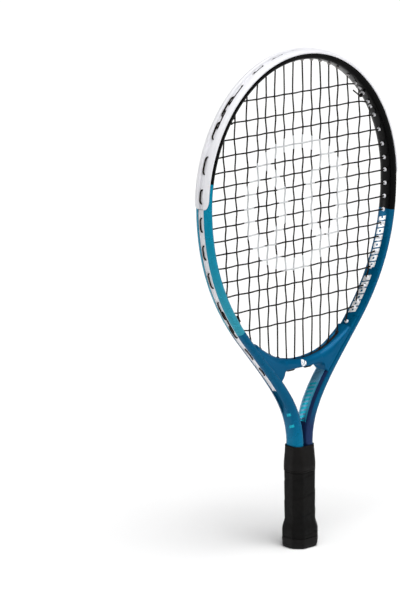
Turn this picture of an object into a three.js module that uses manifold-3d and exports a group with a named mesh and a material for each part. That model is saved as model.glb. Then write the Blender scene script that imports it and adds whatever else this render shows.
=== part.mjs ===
// A 21-inch junior tennis racket, built as its separate pieces.
// Millimetres. +Z runs from the butt to the head tip, X across the face, Y through the face.
// The origin is the centre of the butt end, which is flat.
import * as THREE from 'three';
import { mergeVertices } from 'three/addons/utils/BufferGeometryUtils.js';
import Module from 'manifold-3d';

const wasm = await Module();
wasm.setup();

// ---- frame tube: its centreline ----
const HEAD_CENTRE_Z = 382.6;       // height of the widest point of the head
const HEAD_HALF_WIDTH = 129.5;
const HEAD_RISE = 145.1;           // widest point to apex, both on the centreline
const SHOULDER = new THREE.Vector2(75.5, 233.6);   // where the two throat curves join
const SHOULDER_LEAN = 0.682;       // radians from vertical there
const HEAD_HANDLES = [60.9, 53.7]; // Bezier handle lengths, head to shoulder
const THROAT_HANDLES = [63.6, 44.6];
const THROAT_Z = 112;              // the two shafts run parallel below this
const TUBE_END_Z = 34;
const SHAFT_X = 6.55;              // centreline of each shaft from the middle

// ---- frame tube: its section (u points out of the head, v through the face) ----
const TUBE_U = 4.8;                // half width in the plane of the head
const TUBE_V = 10.5;               // half depth through the face
const SHAFT_U = 6.4;               // half width in the shafts
const SWELL_Z = [150, 230];        // the tube widens between these heights
const ROUNDNESS = 2.6;             // superellipse exponent
const WALL = 1.3;
const GROOVE_V = 4.2;              // half width of the string groove
const GROOVE_U = 2.4;              // floor of the groove
const GROOVE_FADE_Z = [140, 164];
const STATION = 20;                // length of one swept facet

// ---- grommets, bumper and strings ----
const GAP = 0.3;                   // between touching pieces
const HOLE_SIDES = 5;
const HOLE_R = 2.65;
const BARREL_R = 2.1;
const BORE_R = 1.45;
const COLLAR_RISE = 1.6;           // how far a barrel stands out inside the head
const HOLE_SPACING = 6.4;          // least distance between neighbouring holes
const STRIP_FLOOR = [GROOVE_U + GAP, GROOVE_U + GAP + 0.8];
const STRIP_V = GROOVE_V - GAP;
const STRIP_RAIL_V = 3.0;
const STRIP_RAIL_U = 4.4;
const BUMPER_U = 6.35;             // outer face of the bumper
const BUMPER_LIP_U = 1.8;          // how far its lips reach down the faces
const BUMPER_WALL = 1.25;
const BUMPER_END_Z = 384;
const STRIP_END_Z = 177;

const STRING_R = 0.65;
const STRING_SIDES = 3;
const WEAVE = 0.8;                 // a string's offset from the mid plane where it crosses
const LOOP_U = 4.45;               // centre of a string lying in the groove
const LOOP_V = 1.75;               // mains lie in the front half of the groove, crosses in the back
const LOOP_TURN = 3.2;             // a string bends into the groove over this length
const LOOP_STATION = 9;
const KNOT_R = 1.7;
const MAIN_GAPS = [12.8, 12.3, 12.5, 12.4, 12.2, 13.9, 16.0, 15.2];
const MAIN_LEANS = [0, 1.8, 0.6, 1.9, 0.4, 2.9, 4.8, 6.2];   // sideways, over LEAN_SPAN
const LEAN_SPAN = 300;
const LEAN_Z = 360;
const MAIN_ENDS_Z = { top: 490, foot: 240, bridge: 200 };    // where a main's X is read for its holes
const TOP_CROSS_Z = 488.4;
const CROSS_GAPS = [
  20.6, 16.8, 16.6, 16.2, 15.1, 13.5, 14.5, 14.1, 14.4, 14.3, 14.6, 15.5, 15.6, 19.1, 21.1,
];
const TIE_OFFS = { mainTop: 475, crossTop: 471.4, crossFoot: 260.5 };   // heights of the spare holes

// ---- throat bridge ----
const BRIDGE_ARC_R = 90.6;         // its upper edge closes the head
const BRIDGE_TOP_Z = 203.3;
const BRIDGE_UNDER_Z = 195.2;
const BRIDGE_UNDER_X = 22;         // its under side is flat this far out
const BRIDGE_HALF_DEPTH = 9.2;
const BRIDGE_TIP_X = 65;
const BRIDGE_FOOT_Z = 187.5;
const BRIDGE_CORNER = 4;           // rounding of the throat's upper corners
const BRIDGE_STRIP_V = 3.6;
const BRIDGE_STRIP_DEPTH = 1.6;    // the strip is sunk this far into the upper edge
const BRIDGE_STRIP_X = 59;
const BRIDGE_COLLAR = 1;           // how far its barrels stand out
const BRIDGE_BARREL = 4.5;         // and how far they reach in
const UNDER_RISE = 0.8;            // the straight barrels stand out this far below
const BRIDGE_CENTRE_Z = BRIDGE_TOP_Z + BRIDGE_ARC_R;
const BRIDGE_MAINS = 5;            // mains on each side that go through the bridge
const STRAIGHT_MAINS = 2;          // of those, the ones that come out under it
const RIVET_Z = 211;
const RIVET = { r: 1.6, reach: 8.5, headR: 2.4, headDepth: 0.5 };

// ---- handle ----
const GRIP = { x: 16, y: 14.5, c: 7.5 };            // octagon half sizes and chamfer
const TAPE_T = 1.2;
const PALLET = { x: 14.5, y: 13, c: 6.62 };
const SPIGOT = { x: 12.2, y: 10.7, c: 5 };          // slim lower end that the cap fits over
const CAVITY = { x: 13.25, y: 10.8, c: 4.3 };       // space for the two shafts
const CAP_SOCKET = { x: 12.5, y: 11, c: 5 };
const FLARE = 2.5;                                  // growth of the grip at the butt
const FLARE_Z = [18.5, 29.5];
const CAP_RIM_Z = 11;                               // bare plastic below, tape above
const CAP_FLOOR = 3;
const CAP_EDGE = [1.8, 4.5];                        // rounding: inset at the face, and its height
const PALLET_Z = [3.4, 30, 93.5];                   // spigot foot, shoulder, top
const GRIP_TOP_Z = 82.6;
const FINISH_Z = [83.4, 92];
const FINISH_T = 0.6;
const COLLAR_Z = [83, 91, 111];
const COLLAR_TOP = { x: 14.2, y: 12, c: 4.7 };
const COLLAR_WALL = 0.8;
const COLLAR_LIP = 1.5;                             // the straight rim at its top
const STAPLE = { width: 8, wire: 0.7, leg: 6.5 };
const STAPLE_Z = 14.8;

// ---- materials ----
function material(color, roughness, metalness = 0) {
  return new THREE.MeshStandardMaterial({ color, roughness, metalness });
}
const PAINT = material(0x0a6f92, 0.3, 0.2);
const MOULDED_BLUE = material(0x0a5f93, 0.4);
const WHITE_NYLON = material(0xeceef2, 0.4);
const BLACK_NYLON = material(0x1c1b1d, 0.5);
const STRING = material(0x2b2622, 0.45);
const FOAM_TAPE = material(0x17171a, 0.85);
const RUBBER = material(0x1b1a1b, 0.7);
const STEEL = material(0xb8bcc2, 0.3, 1);
const VINYL = material(0x202022, 0.5);

// ---- solids ----
const racket = new THREE.Group();

function solid(geometry) {
  geometry.deleteAttribute('normal');
  geometry.deleteAttribute('uv');
  const merged = mergeVertices(geometry);
  const vertProperties = new Float32Array(merged.getAttribute('position').array);
  const triVerts = new Uint32Array(merged.getIndex().array);
  return new wasm.Manifold(new wasm.Mesh({ numProp: 3, vertProperties, triVerts }));
}

function addPiece(name, body, finish) {
  const { vertProperties, triVerts } = body.getMesh();
  const geometry = new THREE.BufferGeometry();
  geometry.setAttribute('position', new THREE.BufferAttribute(vertProperties, 3));
  geometry.setIndex(new THREE.BufferAttribute(triVerts, 1));
  geometry.computeVertexNormals();
  const mesh = new THREE.Mesh(geometry, finish);
  mesh.name = name;
  racket.add(mesh);
}

function joined(solids) {
  return solids.reduce((whole, next) => whole.add(next));
}

// A prism between two points, used for holes, barrels and bores.
function prism(from, to, radius, sides = HOLE_SIDES) {
  const geometry = new THREE.CylinderGeometry(radius, radius, from.distanceTo(to), sides);
  const up = new THREE.Vector3(0, 1, 0);
  const along = to.clone().sub(from).normalize();
  geometry.applyQuaternion(new THREE.Quaternion().setFromUnitVectors(up, along));
  const middle = from.clone().add(to).multiplyScalar(0.5);
  return solid(geometry.translate(middle.x, middle.y, middle.z));
}

function box(size, centre) {
  return solid(new THREE.BoxGeometry(size.x, size.y, size.z).translate(centre.x, centre.y, centre.z));
}

const vec = (x, y, z) => new THREE.Vector3(x, y, z);

// ---- centreline of the frame tube, left shaft end to right shaft end ----
function buildSpine() {
  const lean = new THREE.Vector2(Math.sin(SHOULDER_LEAN), Math.cos(SHOULDER_LEAN));
  const rising = [
    new THREE.Vector2(SHAFT_X, TUBE_END_Z),
    new THREE.Vector2(SHAFT_X, THROAT_Z),
    new THREE.Vector2(SHAFT_X, THROAT_Z + THROAT_HANDLES[1]),
    SHOULDER.clone().addScaledVector(lean, -THROAT_HANDLES[0]),
    SHOULDER,
    SHOULDER.clone().addScaledVector(lean, HEAD_HANDLES[1]),
    new THREE.Vector2(HEAD_HALF_WIDTH, HEAD_CENTRE_Z - HEAD_HANDLES[0]),
    new THREE.Vector2(HEAD_HALF_WIDTH, HEAD_CENTRE_Z),
  ];
  const left = rising.map((p) => new THREE.Vector2(-p.x, p.y));
  const right = [...rising].reverse();
  const path = new THREE.CurvePath();
  path.add(new THREE.LineCurve(left[0], left[1]));
  path.add(new THREE.CubicBezierCurve(...left.slice(1, 5)));
  path.add(new THREE.CubicBezierCurve(...left.slice(4, 8)));
  path.add(new THREE.EllipseCurve(0, HEAD_CENTRE_Z, HEAD_HALF_WIDTH, HEAD_RISE, Math.PI, 0, true));
  path.add(new THREE.CubicBezierCurve(...right.slice(0, 4)));
  path.add(new THREE.CubicBezierCurve(...right.slice(3, 7)));
  path.add(new THREE.LineCurve(right[6], right[7]));
  return path;
}

const spine = buildSpine();
const spineLength = spine.getLength();
const curveEnds = spine.getCurveLengths().map((length) => length / spineLength);
const THROAT_T = curveEnds[0];     // left shaft straight ends here
const WIDEST_T = curveEnds[2];     // left side of the head at its widest
const APEX_T = 0.5;

// The centreline point at t, and the direction out of the head there.
function frameAt(t) {
  const centre = spine.getPoint(t);
  const along = spine.getTangent(t);
  return { centre, along, out: new THREE.Vector2(-along.y, along.x) };
}

// A point beside the centreline: u out of the head, v to the back.
function beside(t, u, v = 0) {
  const { centre, out } = frameAt(t);
  return vec(centre.x + out.x * u, v, centre.y + out.y * u);
}

// Halves an interval of t until the rising function meets zero.
function solve(rising, low, high) {
  let [a, b] = [low, high];
  for (let i = 0; i < 40; i += 1) {
    const middle = (a + b) / 2;
    if (rising(middle) < 0) a = middle;
    else b = middle;
  }
  return (a + b) / 2;
}

function stations(from, to, spacing = STATION) {
  const count = Math.max(1, Math.round(((to - from) * spineLength) / spacing));
  return Array.from({ length: count + 1 }, (_, i) => from + ((to - from) * i) / count);
}

// All swept pieces share the tube's facets, so that they lie evenly on it.
const FACETS = [
  ...stations(0, THROAT_T, 100),
  ...stations(THROAT_T, 1 - THROAT_T).slice(1),
  ...stations(1 - THROAT_T, 1, 100).slice(1),
];

function facets(from, to) {
  const margin = 2 / spineLength;
  return [from, ...FACETS.filter((t) => t > from + margin && t < to - margin), to];
}

function smoothstep(value, [low, high]) {
  return THREE.MathUtils.smoothstep(value, low, high);
}

// Sweeps a section of (u, v) points along the centreline.
function sweep(shape, ts, reshape = (u, v) => [u, v]) {
  const steps = ts.length - 1;
  const bar = new THREE.ExtrudeGeometry(shape, { depth: 1, steps, bevelEnabled: false });
  const at = bar.getAttribute('position');
  for (let i = 0; i < at.count; i += 1) {
    const t = ts[Math.round(at.getZ(i) * steps)];
    const { centre, out } = frameAt(t);
    const [u, v] = reshape(at.getX(i), at.getY(i), centre.y);
    at.setXYZ(i, centre.x + out.x * u, -v, centre.y + out.y * u);
  }
  return solid(bar);
}

// ---- tube section ----
function superellipse(a, b, angle) {
  const power = 2 / ROUNDNESS;
  const curve = (value) => Math.sign(value) * Math.abs(value) ** power;
  return new THREE.Vector2(a * curve(Math.cos(angle)), b * curve(Math.sin(angle)));
}

// Points of the superellipse from the angle start, round the inner side, to -start.
function innerArc(a, b, start, count) {
  return Array.from({ length: count }, (_, i) => {
    const angle = start + ((2 * Math.PI - 2 * start) * i) / (count - 1);
    return superellipse(a, b, angle);
  });
}

function angleWhere(value, size) {
  return (value / size) ** (ROUNDNESS / 2);
}

const TUBE_ARC_POINTS = 12;        // points round the tube, from one groove edge to the other
const GROOVE_EDGE = Math.asin(angleWhere(GROOVE_V, TUBE_V));
const TUBE_ARC_STEP = (2 * Math.PI - 2 * GROOVE_EDGE) / (TUBE_ARC_POINTS - 1);

function tubeSection() {
  const outline = innerArc(TUBE_U, TUBE_V, GROOVE_EDGE, TUBE_ARC_POINTS);
  outline.push(new THREE.Vector2(GROOVE_U, -GROOVE_V), new THREE.Vector2(GROOVE_U, GROOVE_V));
  const shape = new THREE.Shape(outline);
  const inside = Math.acos(angleWhere(GROOVE_U - WALL, TUBE_U - WALL));
  shape.holes.push(new THREE.Path(innerArc(TUBE_U - WALL, TUBE_V - WALL, inside, 6)));
  return shape;
}

// The tube is wider in the shafts, and its groove runs out below the grommet strips.
function tubeProfile(u, v, z) {
  const swell = 1 - smoothstep(z, SWELL_Z);
  const fade = 1 - smoothstep(z, GROOVE_FADE_Z);
  const inGroove = Math.abs(u - GROOVE_U) < 0.01;
  const filled = inGroove ? THREE.MathUtils.lerp(u, TUBE_U, fade) : u;
  return [filled * THREE.MathUtils.lerp(1, SHAFT_U / TUBE_U, swell), v];
}

// How much wider the tube is at height z than in the head.
function swellAt(z) {
  return tubeProfile(TUBE_U, 0, z)[0] / TUBE_U;
}

// Pieces that lie in the groove follow its floor outwards where the tube widens.
function onFloor(u, z) {
  return u + GROOVE_U * (swellAt(z) - 1);
}

// ---- string layout ----
const mainSide = [];
MAIN_GAPS.forEach((gap, i) => mainSide.push(i === 0 ? gap / 2 : mainSide[i - 1] + gap));
const mains = [
  ...mainSide.map((x, i) => ({ x: -x, lean: -MAIN_LEANS[i] })).reverse(),
  ...mainSide.map((x, i) => ({ x, lean: MAIN_LEANS[i] })),
];
const crosses = [TOP_CROSS_Z];
CROSS_GAPS.forEach((gap) => crosses.push(crosses[crosses.length - 1] - gap));

function mainX(main, z) {
  return main.x + (main.lean * (z - LEAN_Z)) / LEAN_SPAN;
}

function bridgeArcZ(x) {
  return BRIDGE_CENTRE_Z - Math.sqrt(BRIDGE_ARC_R ** 2 - x ** 2);
}

// Where the string at x or z meets the inner face of the tube, on the left half.
function holeAtX(x, from, to) {
  const sign = Math.sign(beside(to, -TUBE_U).x - beside(from, -TUBE_U).x);
  return solve((t) => sign * (beside(t, -TUBE_U).x - x), from, to);
}

function holeAtZ(z) {
  return solve((t) => beside(t, -TUBE_U).z - z, THROAT_T, APEX_T);
}

// The centreline point whose normal passes through a point on the bridge.
function holeFacing(x, z) {
  const t = solve((s) => {
    const { centre, along } = frameAt(s);
    return (centre.x - x) * along.x + (centre.y - z) * along.y;
  }, THROAT_T, WIDEST_T);
  const { centre } = frameAt(t);
  return { t, reach: Math.hypot(centre.x - x, centre.y - z) + BRIDGE_COLLAR };
}

const INNER_MOUTH = TUBE_U + COLLAR_RISE;

// Every hole on the left half of the tube, keyed by the string end that uses it.
function leftHoles() {
  const holes = new Map();
  mainSide.forEach((x, i) => {
    const main = mains[mainSide.length - 1 - i];
    holes.set(`top${i}`, { t: holeAtX(mainX(main, MAIN_ENDS_Z.top), WIDEST_T, APEX_T), reach: INNER_MOUTH });
    if (i < STRAIGHT_MAINS) return;
    const footX = mainX(main, MAIN_ENDS_Z.foot);
    if (i < BRIDGE_MAINS) holes.set(`foot${i}`, holeFacing(footX, bridgeArcZ(footX)));
    else holes.set(`foot${i}`, { t: holeAtX(footX, THROAT_T, WIDEST_T), reach: INNER_MOUTH });
  });
  crosses.forEach((z, j) => holes.set(`cross${j}`, { t: holeAtZ(z), reach: INNER_MOUTH }));
  Object.entries(TIE_OFFS).forEach(([key, z]) => holes.set(key, { t: holeAtZ(z), reach: INNER_MOUTH }));
  spread([...holes.values()]);
  return holes;
}

// Pushes neighbouring holes apart until none are closer than HOLE_SPACING.
function spread(holes) {
  const least = HOLE_SPACING / spineLength;
  holes.sort((a, b) => a.t - b.t);
  for (let round = 0; round < 60; round += 1) {
    for (let i = 1; i < holes.length; i += 1) {
      const lack = least - (holes[i].t - holes[i - 1].t);
      if (lack > 0) {
        holes[i].t += lack / 2;
        holes[i - 1].t -= lack / 2;
      }
    }
  }
}

const left = leftHoles();
const right = new Map([...left].map(([key, hole]) => [key, { ...hole, t: 1 - hole.t }]));
const isTieOff = (key) => key in TIE_OFFS;
// The right side ties off only the main string; the cross string has both its ends on the left.
const tubeHoles = [...left.values(), ...[...right].filter(([key]) => !isTieOff(key)
  || key === 'mainTop').map(([, hole]) => hole)];

function holeSolid(hole, radius, from, to) {
  return prism(beside(hole.t, from), beside(hole.t, to), radius);
}

// ---- frame tube ----
function frameTube() {
  const tube = sweep(tubeSection(), FACETS, tubeProfile);
  const cuts = tubeHoles.map((hole) => holeSolid(hole, HOLE_R, -TUBE_U - 3, TUBE_U + 3));
  const rivets = [RIVET_T, 1 - RIVET_T].map(rivetSlot);
  return tube.subtract(joined([...cuts, ...rivets]));
}

// ---- grommet strips and bumper ----
const STRIP_FOOT_T = solve((t) => frameAt(t).centre.y - STRIP_END_Z, THROAT_T, WIDEST_T);
const BUMPER_T = solve((t) => frameAt(t).centre.y - BUMPER_END_Z, THROAT_T, APEX_T);
const END_GAP = 0.5 / spineLength;

function between(holes, from, to) {
  return holes.filter(({ t }) => t > from && t < to);
}

// Adds a barrel at each hole, then bores it.
function withBarrels(strip, holes) {
  const barrels = holes.map((hole) => {
    const top = onFloor(STRIP_FLOOR[0] + 0.2, frameAt(hole.t).centre.y);
    const end = hole.reach > INNER_MOUTH + 0.1 ? TUBE_U - GAP : INNER_MOUTH;
    return holeSolid(hole, BARREL_R, -end, top);
  });
  const bores = holes.map((hole) => holeSolid(hole, BORE_R, -INNER_MOUTH - 2, TUBE_U + 3));
  return joined([strip, ...barrels]).subtract(joined(bores));
}

function grommetStrip(from, to) {
  const shape = new THREE.Shape([
    new THREE.Vector2(STRIP_FLOOR[0], -STRIP_V),
    new THREE.Vector2(STRIP_RAIL_U, -STRIP_V),
    new THREE.Vector2(STRIP_RAIL_U, -STRIP_RAIL_V),
    new THREE.Vector2(STRIP_FLOOR[1], -STRIP_RAIL_V),
    new THREE.Vector2(STRIP_FLOOR[1], STRIP_RAIL_V),
    new THREE.Vector2(STRIP_RAIL_U, STRIP_RAIL_V),
    new THREE.Vector2(STRIP_RAIL_U, STRIP_V),
    new THREE.Vector2(STRIP_FLOOR[0], STRIP_V),
  ]);
  const strip = sweep(shape, facets(from, to), (u, v, z) => [onFloor(u, z), v]);
  return withBarrels(strip, between(tubeHoles, from, to));
}

// The bumper's section: a shell over the outer half of the tube, sunk into its groove.
function bumperSection() {
  const angles = [2, 1].map((i) => GROOVE_EDGE + i * TUBE_ARC_STEP);
  const shell = (grow) => angles.map((angle) => superellipse(TUBE_U + grow, TUBE_V + grow, angle));
  const outer = shell(GAP + BUMPER_WALL);
  const inner = shell(GAP);
  const side = [
    new THREE.Vector2(BUMPER_LIP_U, TUBE_V + GAP),
    new THREE.Vector2(BUMPER_LIP_U, TUBE_V + GAP + BUMPER_WALL),
    ...outer,
    new THREE.Vector2(BUMPER_U, STRIP_RAIL_V + 1.2),
    new THREE.Vector2(BUMPER_U, STRIP_RAIL_V),
    new THREE.Vector2(STRIP_FLOOR[1], STRIP_RAIL_V),
  ];
  const under = [
    new THREE.Vector2(STRIP_FLOOR[0], STRIP_V),
    new THREE.Vector2(TUBE_U + GAP, STRIP_V),
    ...[...inner].reverse(),
  ];
  const mirror = (points) => points.map((p) => new THREE.Vector2(p.x, -p.y)).reverse();
  return new THREE.Shape([...under, ...side, ...mirror(side), ...mirror(under)]);
}

function bumperGuard() {
  const [from, to] = [BUMPER_T, 1 - BUMPER_T];
  const shell = sweep(bumperSection(), facets(from, to));
  return withBarrels(shell, between(tubeHoles, from, to));
}

// ---- throat bridge ----
function bridgeOutline() {
  const edge = (t) => {
    const p = beside(t, -TUBE_U * swellAt(frameAt(t).centre.y) - GAP);
    return new THREE.Vector2(p.x, p.z);
  };
  const tip = solve((t) => -edge(t).x - BRIDGE_TIP_X, THROAT_T, WIDEST_T);
  const low = solve((t) => edge(t).y - BRIDGE_FOOT_Z, THROAT_T, WIDEST_T);
  const cheek = stations(low, tip, 9).map(edge);
  const half = Math.asin(BRIDGE_TIP_X / BRIDGE_ARC_R);
  const arc = Array.from({ length: 17 }, (_, i) => bridgeRing(0, half * (i / 8 - 1)));
  const foot = new THREE.Vector2(-cheek[0].x - 1.2, BRIDGE_FOOT_Z);
  const under = new THREE.CubicBezierCurve(
    foot,
    new THREE.Vector2(foot.x - 0.4, BRIDGE_UNDER_Z - BRIDGE_CORNER / 2),
    new THREE.Vector2(BRIDGE_UNDER_X + BRIDGE_CORNER, BRIDGE_UNDER_Z),
    new THREE.Vector2(BRIDGE_UNDER_X, BRIDGE_UNDER_Z),
  ).getPoints(6);
  const mirror = (points) => points.map((p) => new THREE.Vector2(-p.x, p.y)).reverse();
  return new THREE.Shape([...cheek, ...arc, ...mirror(cheek), ...under, ...mirror(under)]);
}

// A point below the bridge's upper edge: depth is measured along the arc's radius.
function bridgeRing(depth, angle) {
  const radius = BRIDGE_ARC_R + depth;
  return new THREE.Vector2(radius * Math.sin(angle), BRIDGE_CENTRE_Z - radius * Math.cos(angle));
}

// Where a string enters the bridge, and the direction in which its hole runs.
function bridgeHoles() {
  return [...mains.keys()].filter((k) => sideIndex(k) < BRIDGE_MAINS).map((k) => {
    const hole = footHole(k);
    if (hole.t === undefined) {
      const top = bridgeArcZ(hole.x) + BRIDGE_COLLAR;
      return { mouth: vec(hole.x, 0, top), end: vec(hole.x, 0, BRIDGE_UNDER_Z - UNDER_RISE) };
    }
    const wall = TUBE_U * swellAt(frameAt(hole.t).centre.y) + GAP;
    const end = Math.max(hole.reach - BRIDGE_COLLAR - BRIDGE_BARREL, wall);
    return { mouth: beside(hole.t, -hole.reach), end: beside(hole.t, -end) };
  });
}

function throatBridge() {
  const plate = new THREE.ExtrudeGeometry(bridgeOutline(), {
    depth: 2 * BRIDGE_HALF_DEPTH,
    bevelEnabled: false,
  });
  const body = solid(plate.translate(0, 0, -BRIDGE_HALF_DEPTH).rotateX(Math.PI / 2));
  const slotX = BRIDGE_STRIP_X + 3;
  const cuts = [bridgeArcBar(-3, BRIDGE_STRIP_DEPTH + GAP, BRIDGE_STRIP_V + GAP, slotX)];
  bridgeHoles().forEach(({ mouth, end }) => {
    const along = end.clone().sub(mouth).normalize();
    const start = mouth.clone().addScaledVector(along, -1);
    cuts.push(prism(start, end.clone().addScaledVector(along, 16), HOLE_R));
  });
  [RIVET_T, 1 - RIVET_T].forEach((t) => cuts.push(rivetHole(t)));
  return body.subtract(joined(cuts));
}

// A bar that follows the bridge's upper edge as far as endX, between two depths below it.
function bridgeArcBar(from, to, halfWidth, endX) {
  const steps = 12;
  const reach = Math.asin(endX / BRIDGE_ARC_R);
  const ring = (depth) => Array.from({ length: steps + 1 }, (_, i) => (
    bridgeRing(depth, reach * ((2 * i) / steps - 1))
  ));
  const shape = new THREE.Shape([...ring(from), ...ring(to).reverse()]);
  const bar = new THREE.ExtrudeGeometry(shape, { depth: 2 * halfWidth, bevelEnabled: false });
  return solid(bar.translate(0, 0, -halfWidth).rotateX(Math.PI / 2));
}

function bridgeGrommetStrip() {
  const strip = bridgeArcBar(0.3, BRIDGE_STRIP_DEPTH, BRIDGE_STRIP_V, BRIDGE_STRIP_X);
  const barrels = bridgeHoles().map(({ mouth, end }) => prism(mouth, end, BARREL_R));
  const bores = bridgeHoles().map(({ mouth, end }) => {
    const along = end.clone().sub(mouth).normalize();
    const [a, b] = [mouth.clone().addScaledVector(along, -2), end.clone().addScaledVector(along, 2)];
    return prism(a, b, BORE_R);
  });
  return joined([strip, ...barrels]).subtract(joined(bores));
}

// ---- rivets that hold the bridge, one in each groove under the grommet strip ----
const RIVET_T = solve((t) => frameAt(t).centre.y - RIVET_Z, THROAT_T, WIDEST_T);
const RIVET_FLOOR = GROOVE_U * swellAt(RIVET_Z);
const RIVET_SIDES = 8;

// A round bar across the tube at t, from u = low to u = high.
function rivetBar(t, low, high, radius) {
  return prism(beside(t, low), beside(t, high), radius, RIVET_SIDES);
}

function rivetHole(t) {
  return rivetBar(t, -RIVET.reach, RIVET_FLOOR, RIVET.r + GAP);
}

function rivetSlot(t) {
  const sink = RIVET_FLOOR - RIVET.headDepth - GAP;
  return rivetHole(t).add(rivetBar(t, sink, RIVET_FLOOR + 1, RIVET.headR + GAP));
}

function bridgeRivet(t) {
  const shank = rivetBar(t, -RIVET.reach + GAP, RIVET_FLOOR - 0.2, RIVET.r);
  return shank.add(rivetBar(t, RIVET_FLOOR - RIVET.headDepth, RIVET_FLOOR - 0.05, RIVET.headR));
}

// ---- strings ----
// A polyline string: a straight bar whose rings are moved onto the points.
function thread(points) {
  const steps = points.length - 1;
  const ring = Array.from({ length: STRING_SIDES }, (_, i) => {
    const angle = (2 * Math.PI * (i + 0.5)) / STRING_SIDES;
    return new THREE.Vector2(STRING_R * Math.cos(angle), STRING_R * Math.sin(angle));
  });
  const frames = ringFrames(points);
  const bar = new THREE.ExtrudeGeometry(new THREE.Shape(ring), { depth: 1, steps, bevelEnabled: false });
  const at = bar.getAttribute('position');
  for (let i = 0; i < at.count; i += 1) {
    const k = Math.round(at.getZ(i) * steps);
    const p = points[k].clone();
    p.addScaledVector(frames[k].normal, at.getX(i)).addScaledVector(frames[k].binormal, at.getY(i));
    at.setXYZ(i, p.x, p.y, p.z);
  }
  return solid(bar);
}

// Carries one normal along the points without twist.
function ringFrames(points) {
  const last = points.length - 1;
  let normal = vec(0, 1, 0);
  return points.map((_, k) => {
    const before = points[Math.max(k - 1, 0)];
    const after = points[Math.min(k + 1, last)];
    const tangent = after.clone().sub(before).normalize();
    normal = normal.clone().addScaledVector(tangent, -normal.dot(tangent)).normalize();
    return { normal, binormal: tangent.clone().cross(normal) };
  });
}

// Mains are numbered from the left, and sideIndex counts outwards from the middle.
function sideIndex(k) {
  const half = mainSide.length;
  return k < half ? half - 1 - k : k - half;
}

const sideHoles = (k) => (k < mainSide.length ? left : right);
const topHole = (k) => sideHoles(k).get(`top${sideIndex(k)}`);
const footHole = (k) => sideHoles(k).get(`foot${sideIndex(k)}`) ?? { x: mainX(mains[k], MAIN_ENDS_Z.bridge) };

// The way through a hole, from inside the head to the groove.
function throughTube(hole) {
  const { y } = frameAt(hole.t).centre;
  return [beside(hole.t, -hole.reach - 0.2), beside(hole.t, onFloor(LOOP_U, y))];
}

// The part of a loop that lies in the groove, between two holes.
function alongGroove(a, b, v) {
  const turn = LOOP_TURN / spineLength;
  const ts = stations(a.t + turn, b.t - turn, LOOP_STATION);
  return ts.map((t) => beside(t, onFloor(LOOP_U, frameAt(t).centre.y), v));
}

// Out through one hole, along the groove and back in through the other.
function outsideLoop(a, b, v) {
  if (a.t > b.t) return outsideLoop(b, a, v).reverse();
  return [...throughTube(a), ...alongGroove(a, b, v), ...throughTube(b).reverse()];
}

// The loop under the bridge, between two straight holes.
function underBridge(a, b) {
  const z = BRIDGE_UNDER_Z - UNDER_RISE - GAP - STRING_R;
  const inset = Math.sign(b.x - a.x) * 1.2;
  return [
    vec(a.x, 0, bridgeArcZ(a.x) + 1.2), vec(a.x, 0, z + 1.4), vec(a.x + inset, 0, z),
    vec(b.x - inset, 0, z), vec(b.x, 0, z + 1.4), vec(b.x, 0, bridgeArcZ(b.x) + 1.2),
  ];
}

function footLoop(k) {
  const [a, b] = [footHole(k), footHole(k + 1)];
  return a.t === undefined ? underBridge(a, b) : outsideLoop(a, b, -LOOP_V);
}

const crossEnd = (j, side) => (side < 0 ? left : right).get(`cross${j}`);
const mouth = (hole) => beside(hole.t, -hole.reach);

// Crossing points of main k with the crosses, top to bottom.
function mainCrossings(k) {
  const top = mouth(topHole(k)).z;
  const hole = footHole(k);
  const foot = hole.t === undefined ? bridgeArcZ(hole.x) : mouth(hole).z;
  return [...crosses.keys()].filter((j) => {
    const x = mainX(mains[k], crosses[j]);
    const clear = Math.abs(x) < Math.abs(mouth(crossEnd(j, 1)).x) - 1.2;
    return clear && crosses[j] < top - 1.2 && crosses[j] > foot + 1.2;
  }).map((j) => ({ j, k, x: mainX(mains[k], crosses[j]), z: crosses[j] }));
}

const crossings = [...mains.keys()].flatMap(mainCrossings);
const over = ({ j, k }) => ((j + k) % 2 ? 1 : -1);

// The end of a string comes back in through a spare hole, to a knot with a short tail.
function knot(hole, tail) {
  const at = beside(hole.t, -hole.reach - KNOT_R);
  const bead = solid(new THREE.IcosahedronGeometry(KNOT_R, 1).translate(at.x, at.y, at.z));
  return bead.add(prism(at, at.clone().add(tail), STRING_R, STRING_SIDES));
}

function mainString() {
  const points = [...outsideLoop(left.get('mainTop'), topHole(0), -LOOP_V)];
  mains.forEach((_, k) => {
    const woven = crossings.filter((c) => c.k === k).map((c) => vec(c.x, WEAVE * over(c), c.z));
    points.push(...(k % 2 ? woven.reverse() : woven));
    if (k === mains.length - 1) return;
    points.push(...(k % 2 ? outsideLoop(topHole(k), topHole(k + 1), -LOOP_V) : footLoop(k)));
  });
  points.push(...outsideLoop(topHole(mains.length - 1), right.get('mainTop'), -LOOP_V));
  return joined([
    thread(points),
    knot(left.get('mainTop'), vec(6, 0.8, -3)),
    knot(right.get('mainTop'), vec(-8, -0.8, 5)),
  ]);
}

function crossString() {
  const points = [...outsideLoop(left.get('crossTop'), crossEnd(0, -1), LOOP_V)];
  crosses.forEach((z, j) => {
    const rightwards = j % 2 === 0;
    const woven = crossings.filter((c) => c.j === j).sort((a, b) => a.x - b.x)
      .map((c) => vec(c.x, -WEAVE * over(c), c.z));
    points.push(...(rightwards ? woven : woven.reverse()));
    if (j === crosses.length - 1) return;
    const side = rightwards ? 1 : -1;
    points.push(...outsideLoop(crossEnd(j, side), crossEnd(j + 1, side), LOOP_V));
  });
  points.push(...outsideLoop(crossEnd(crosses.length - 1, -1), left.get('crossFoot'), LOOP_V));
  return joined([
    thread(points),
    knot(left.get('crossTop'), vec(5, 0.8, -4)),
    knot(left.get('crossFoot'), vec(3, -0.8, -5)),
  ]);
}

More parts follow.
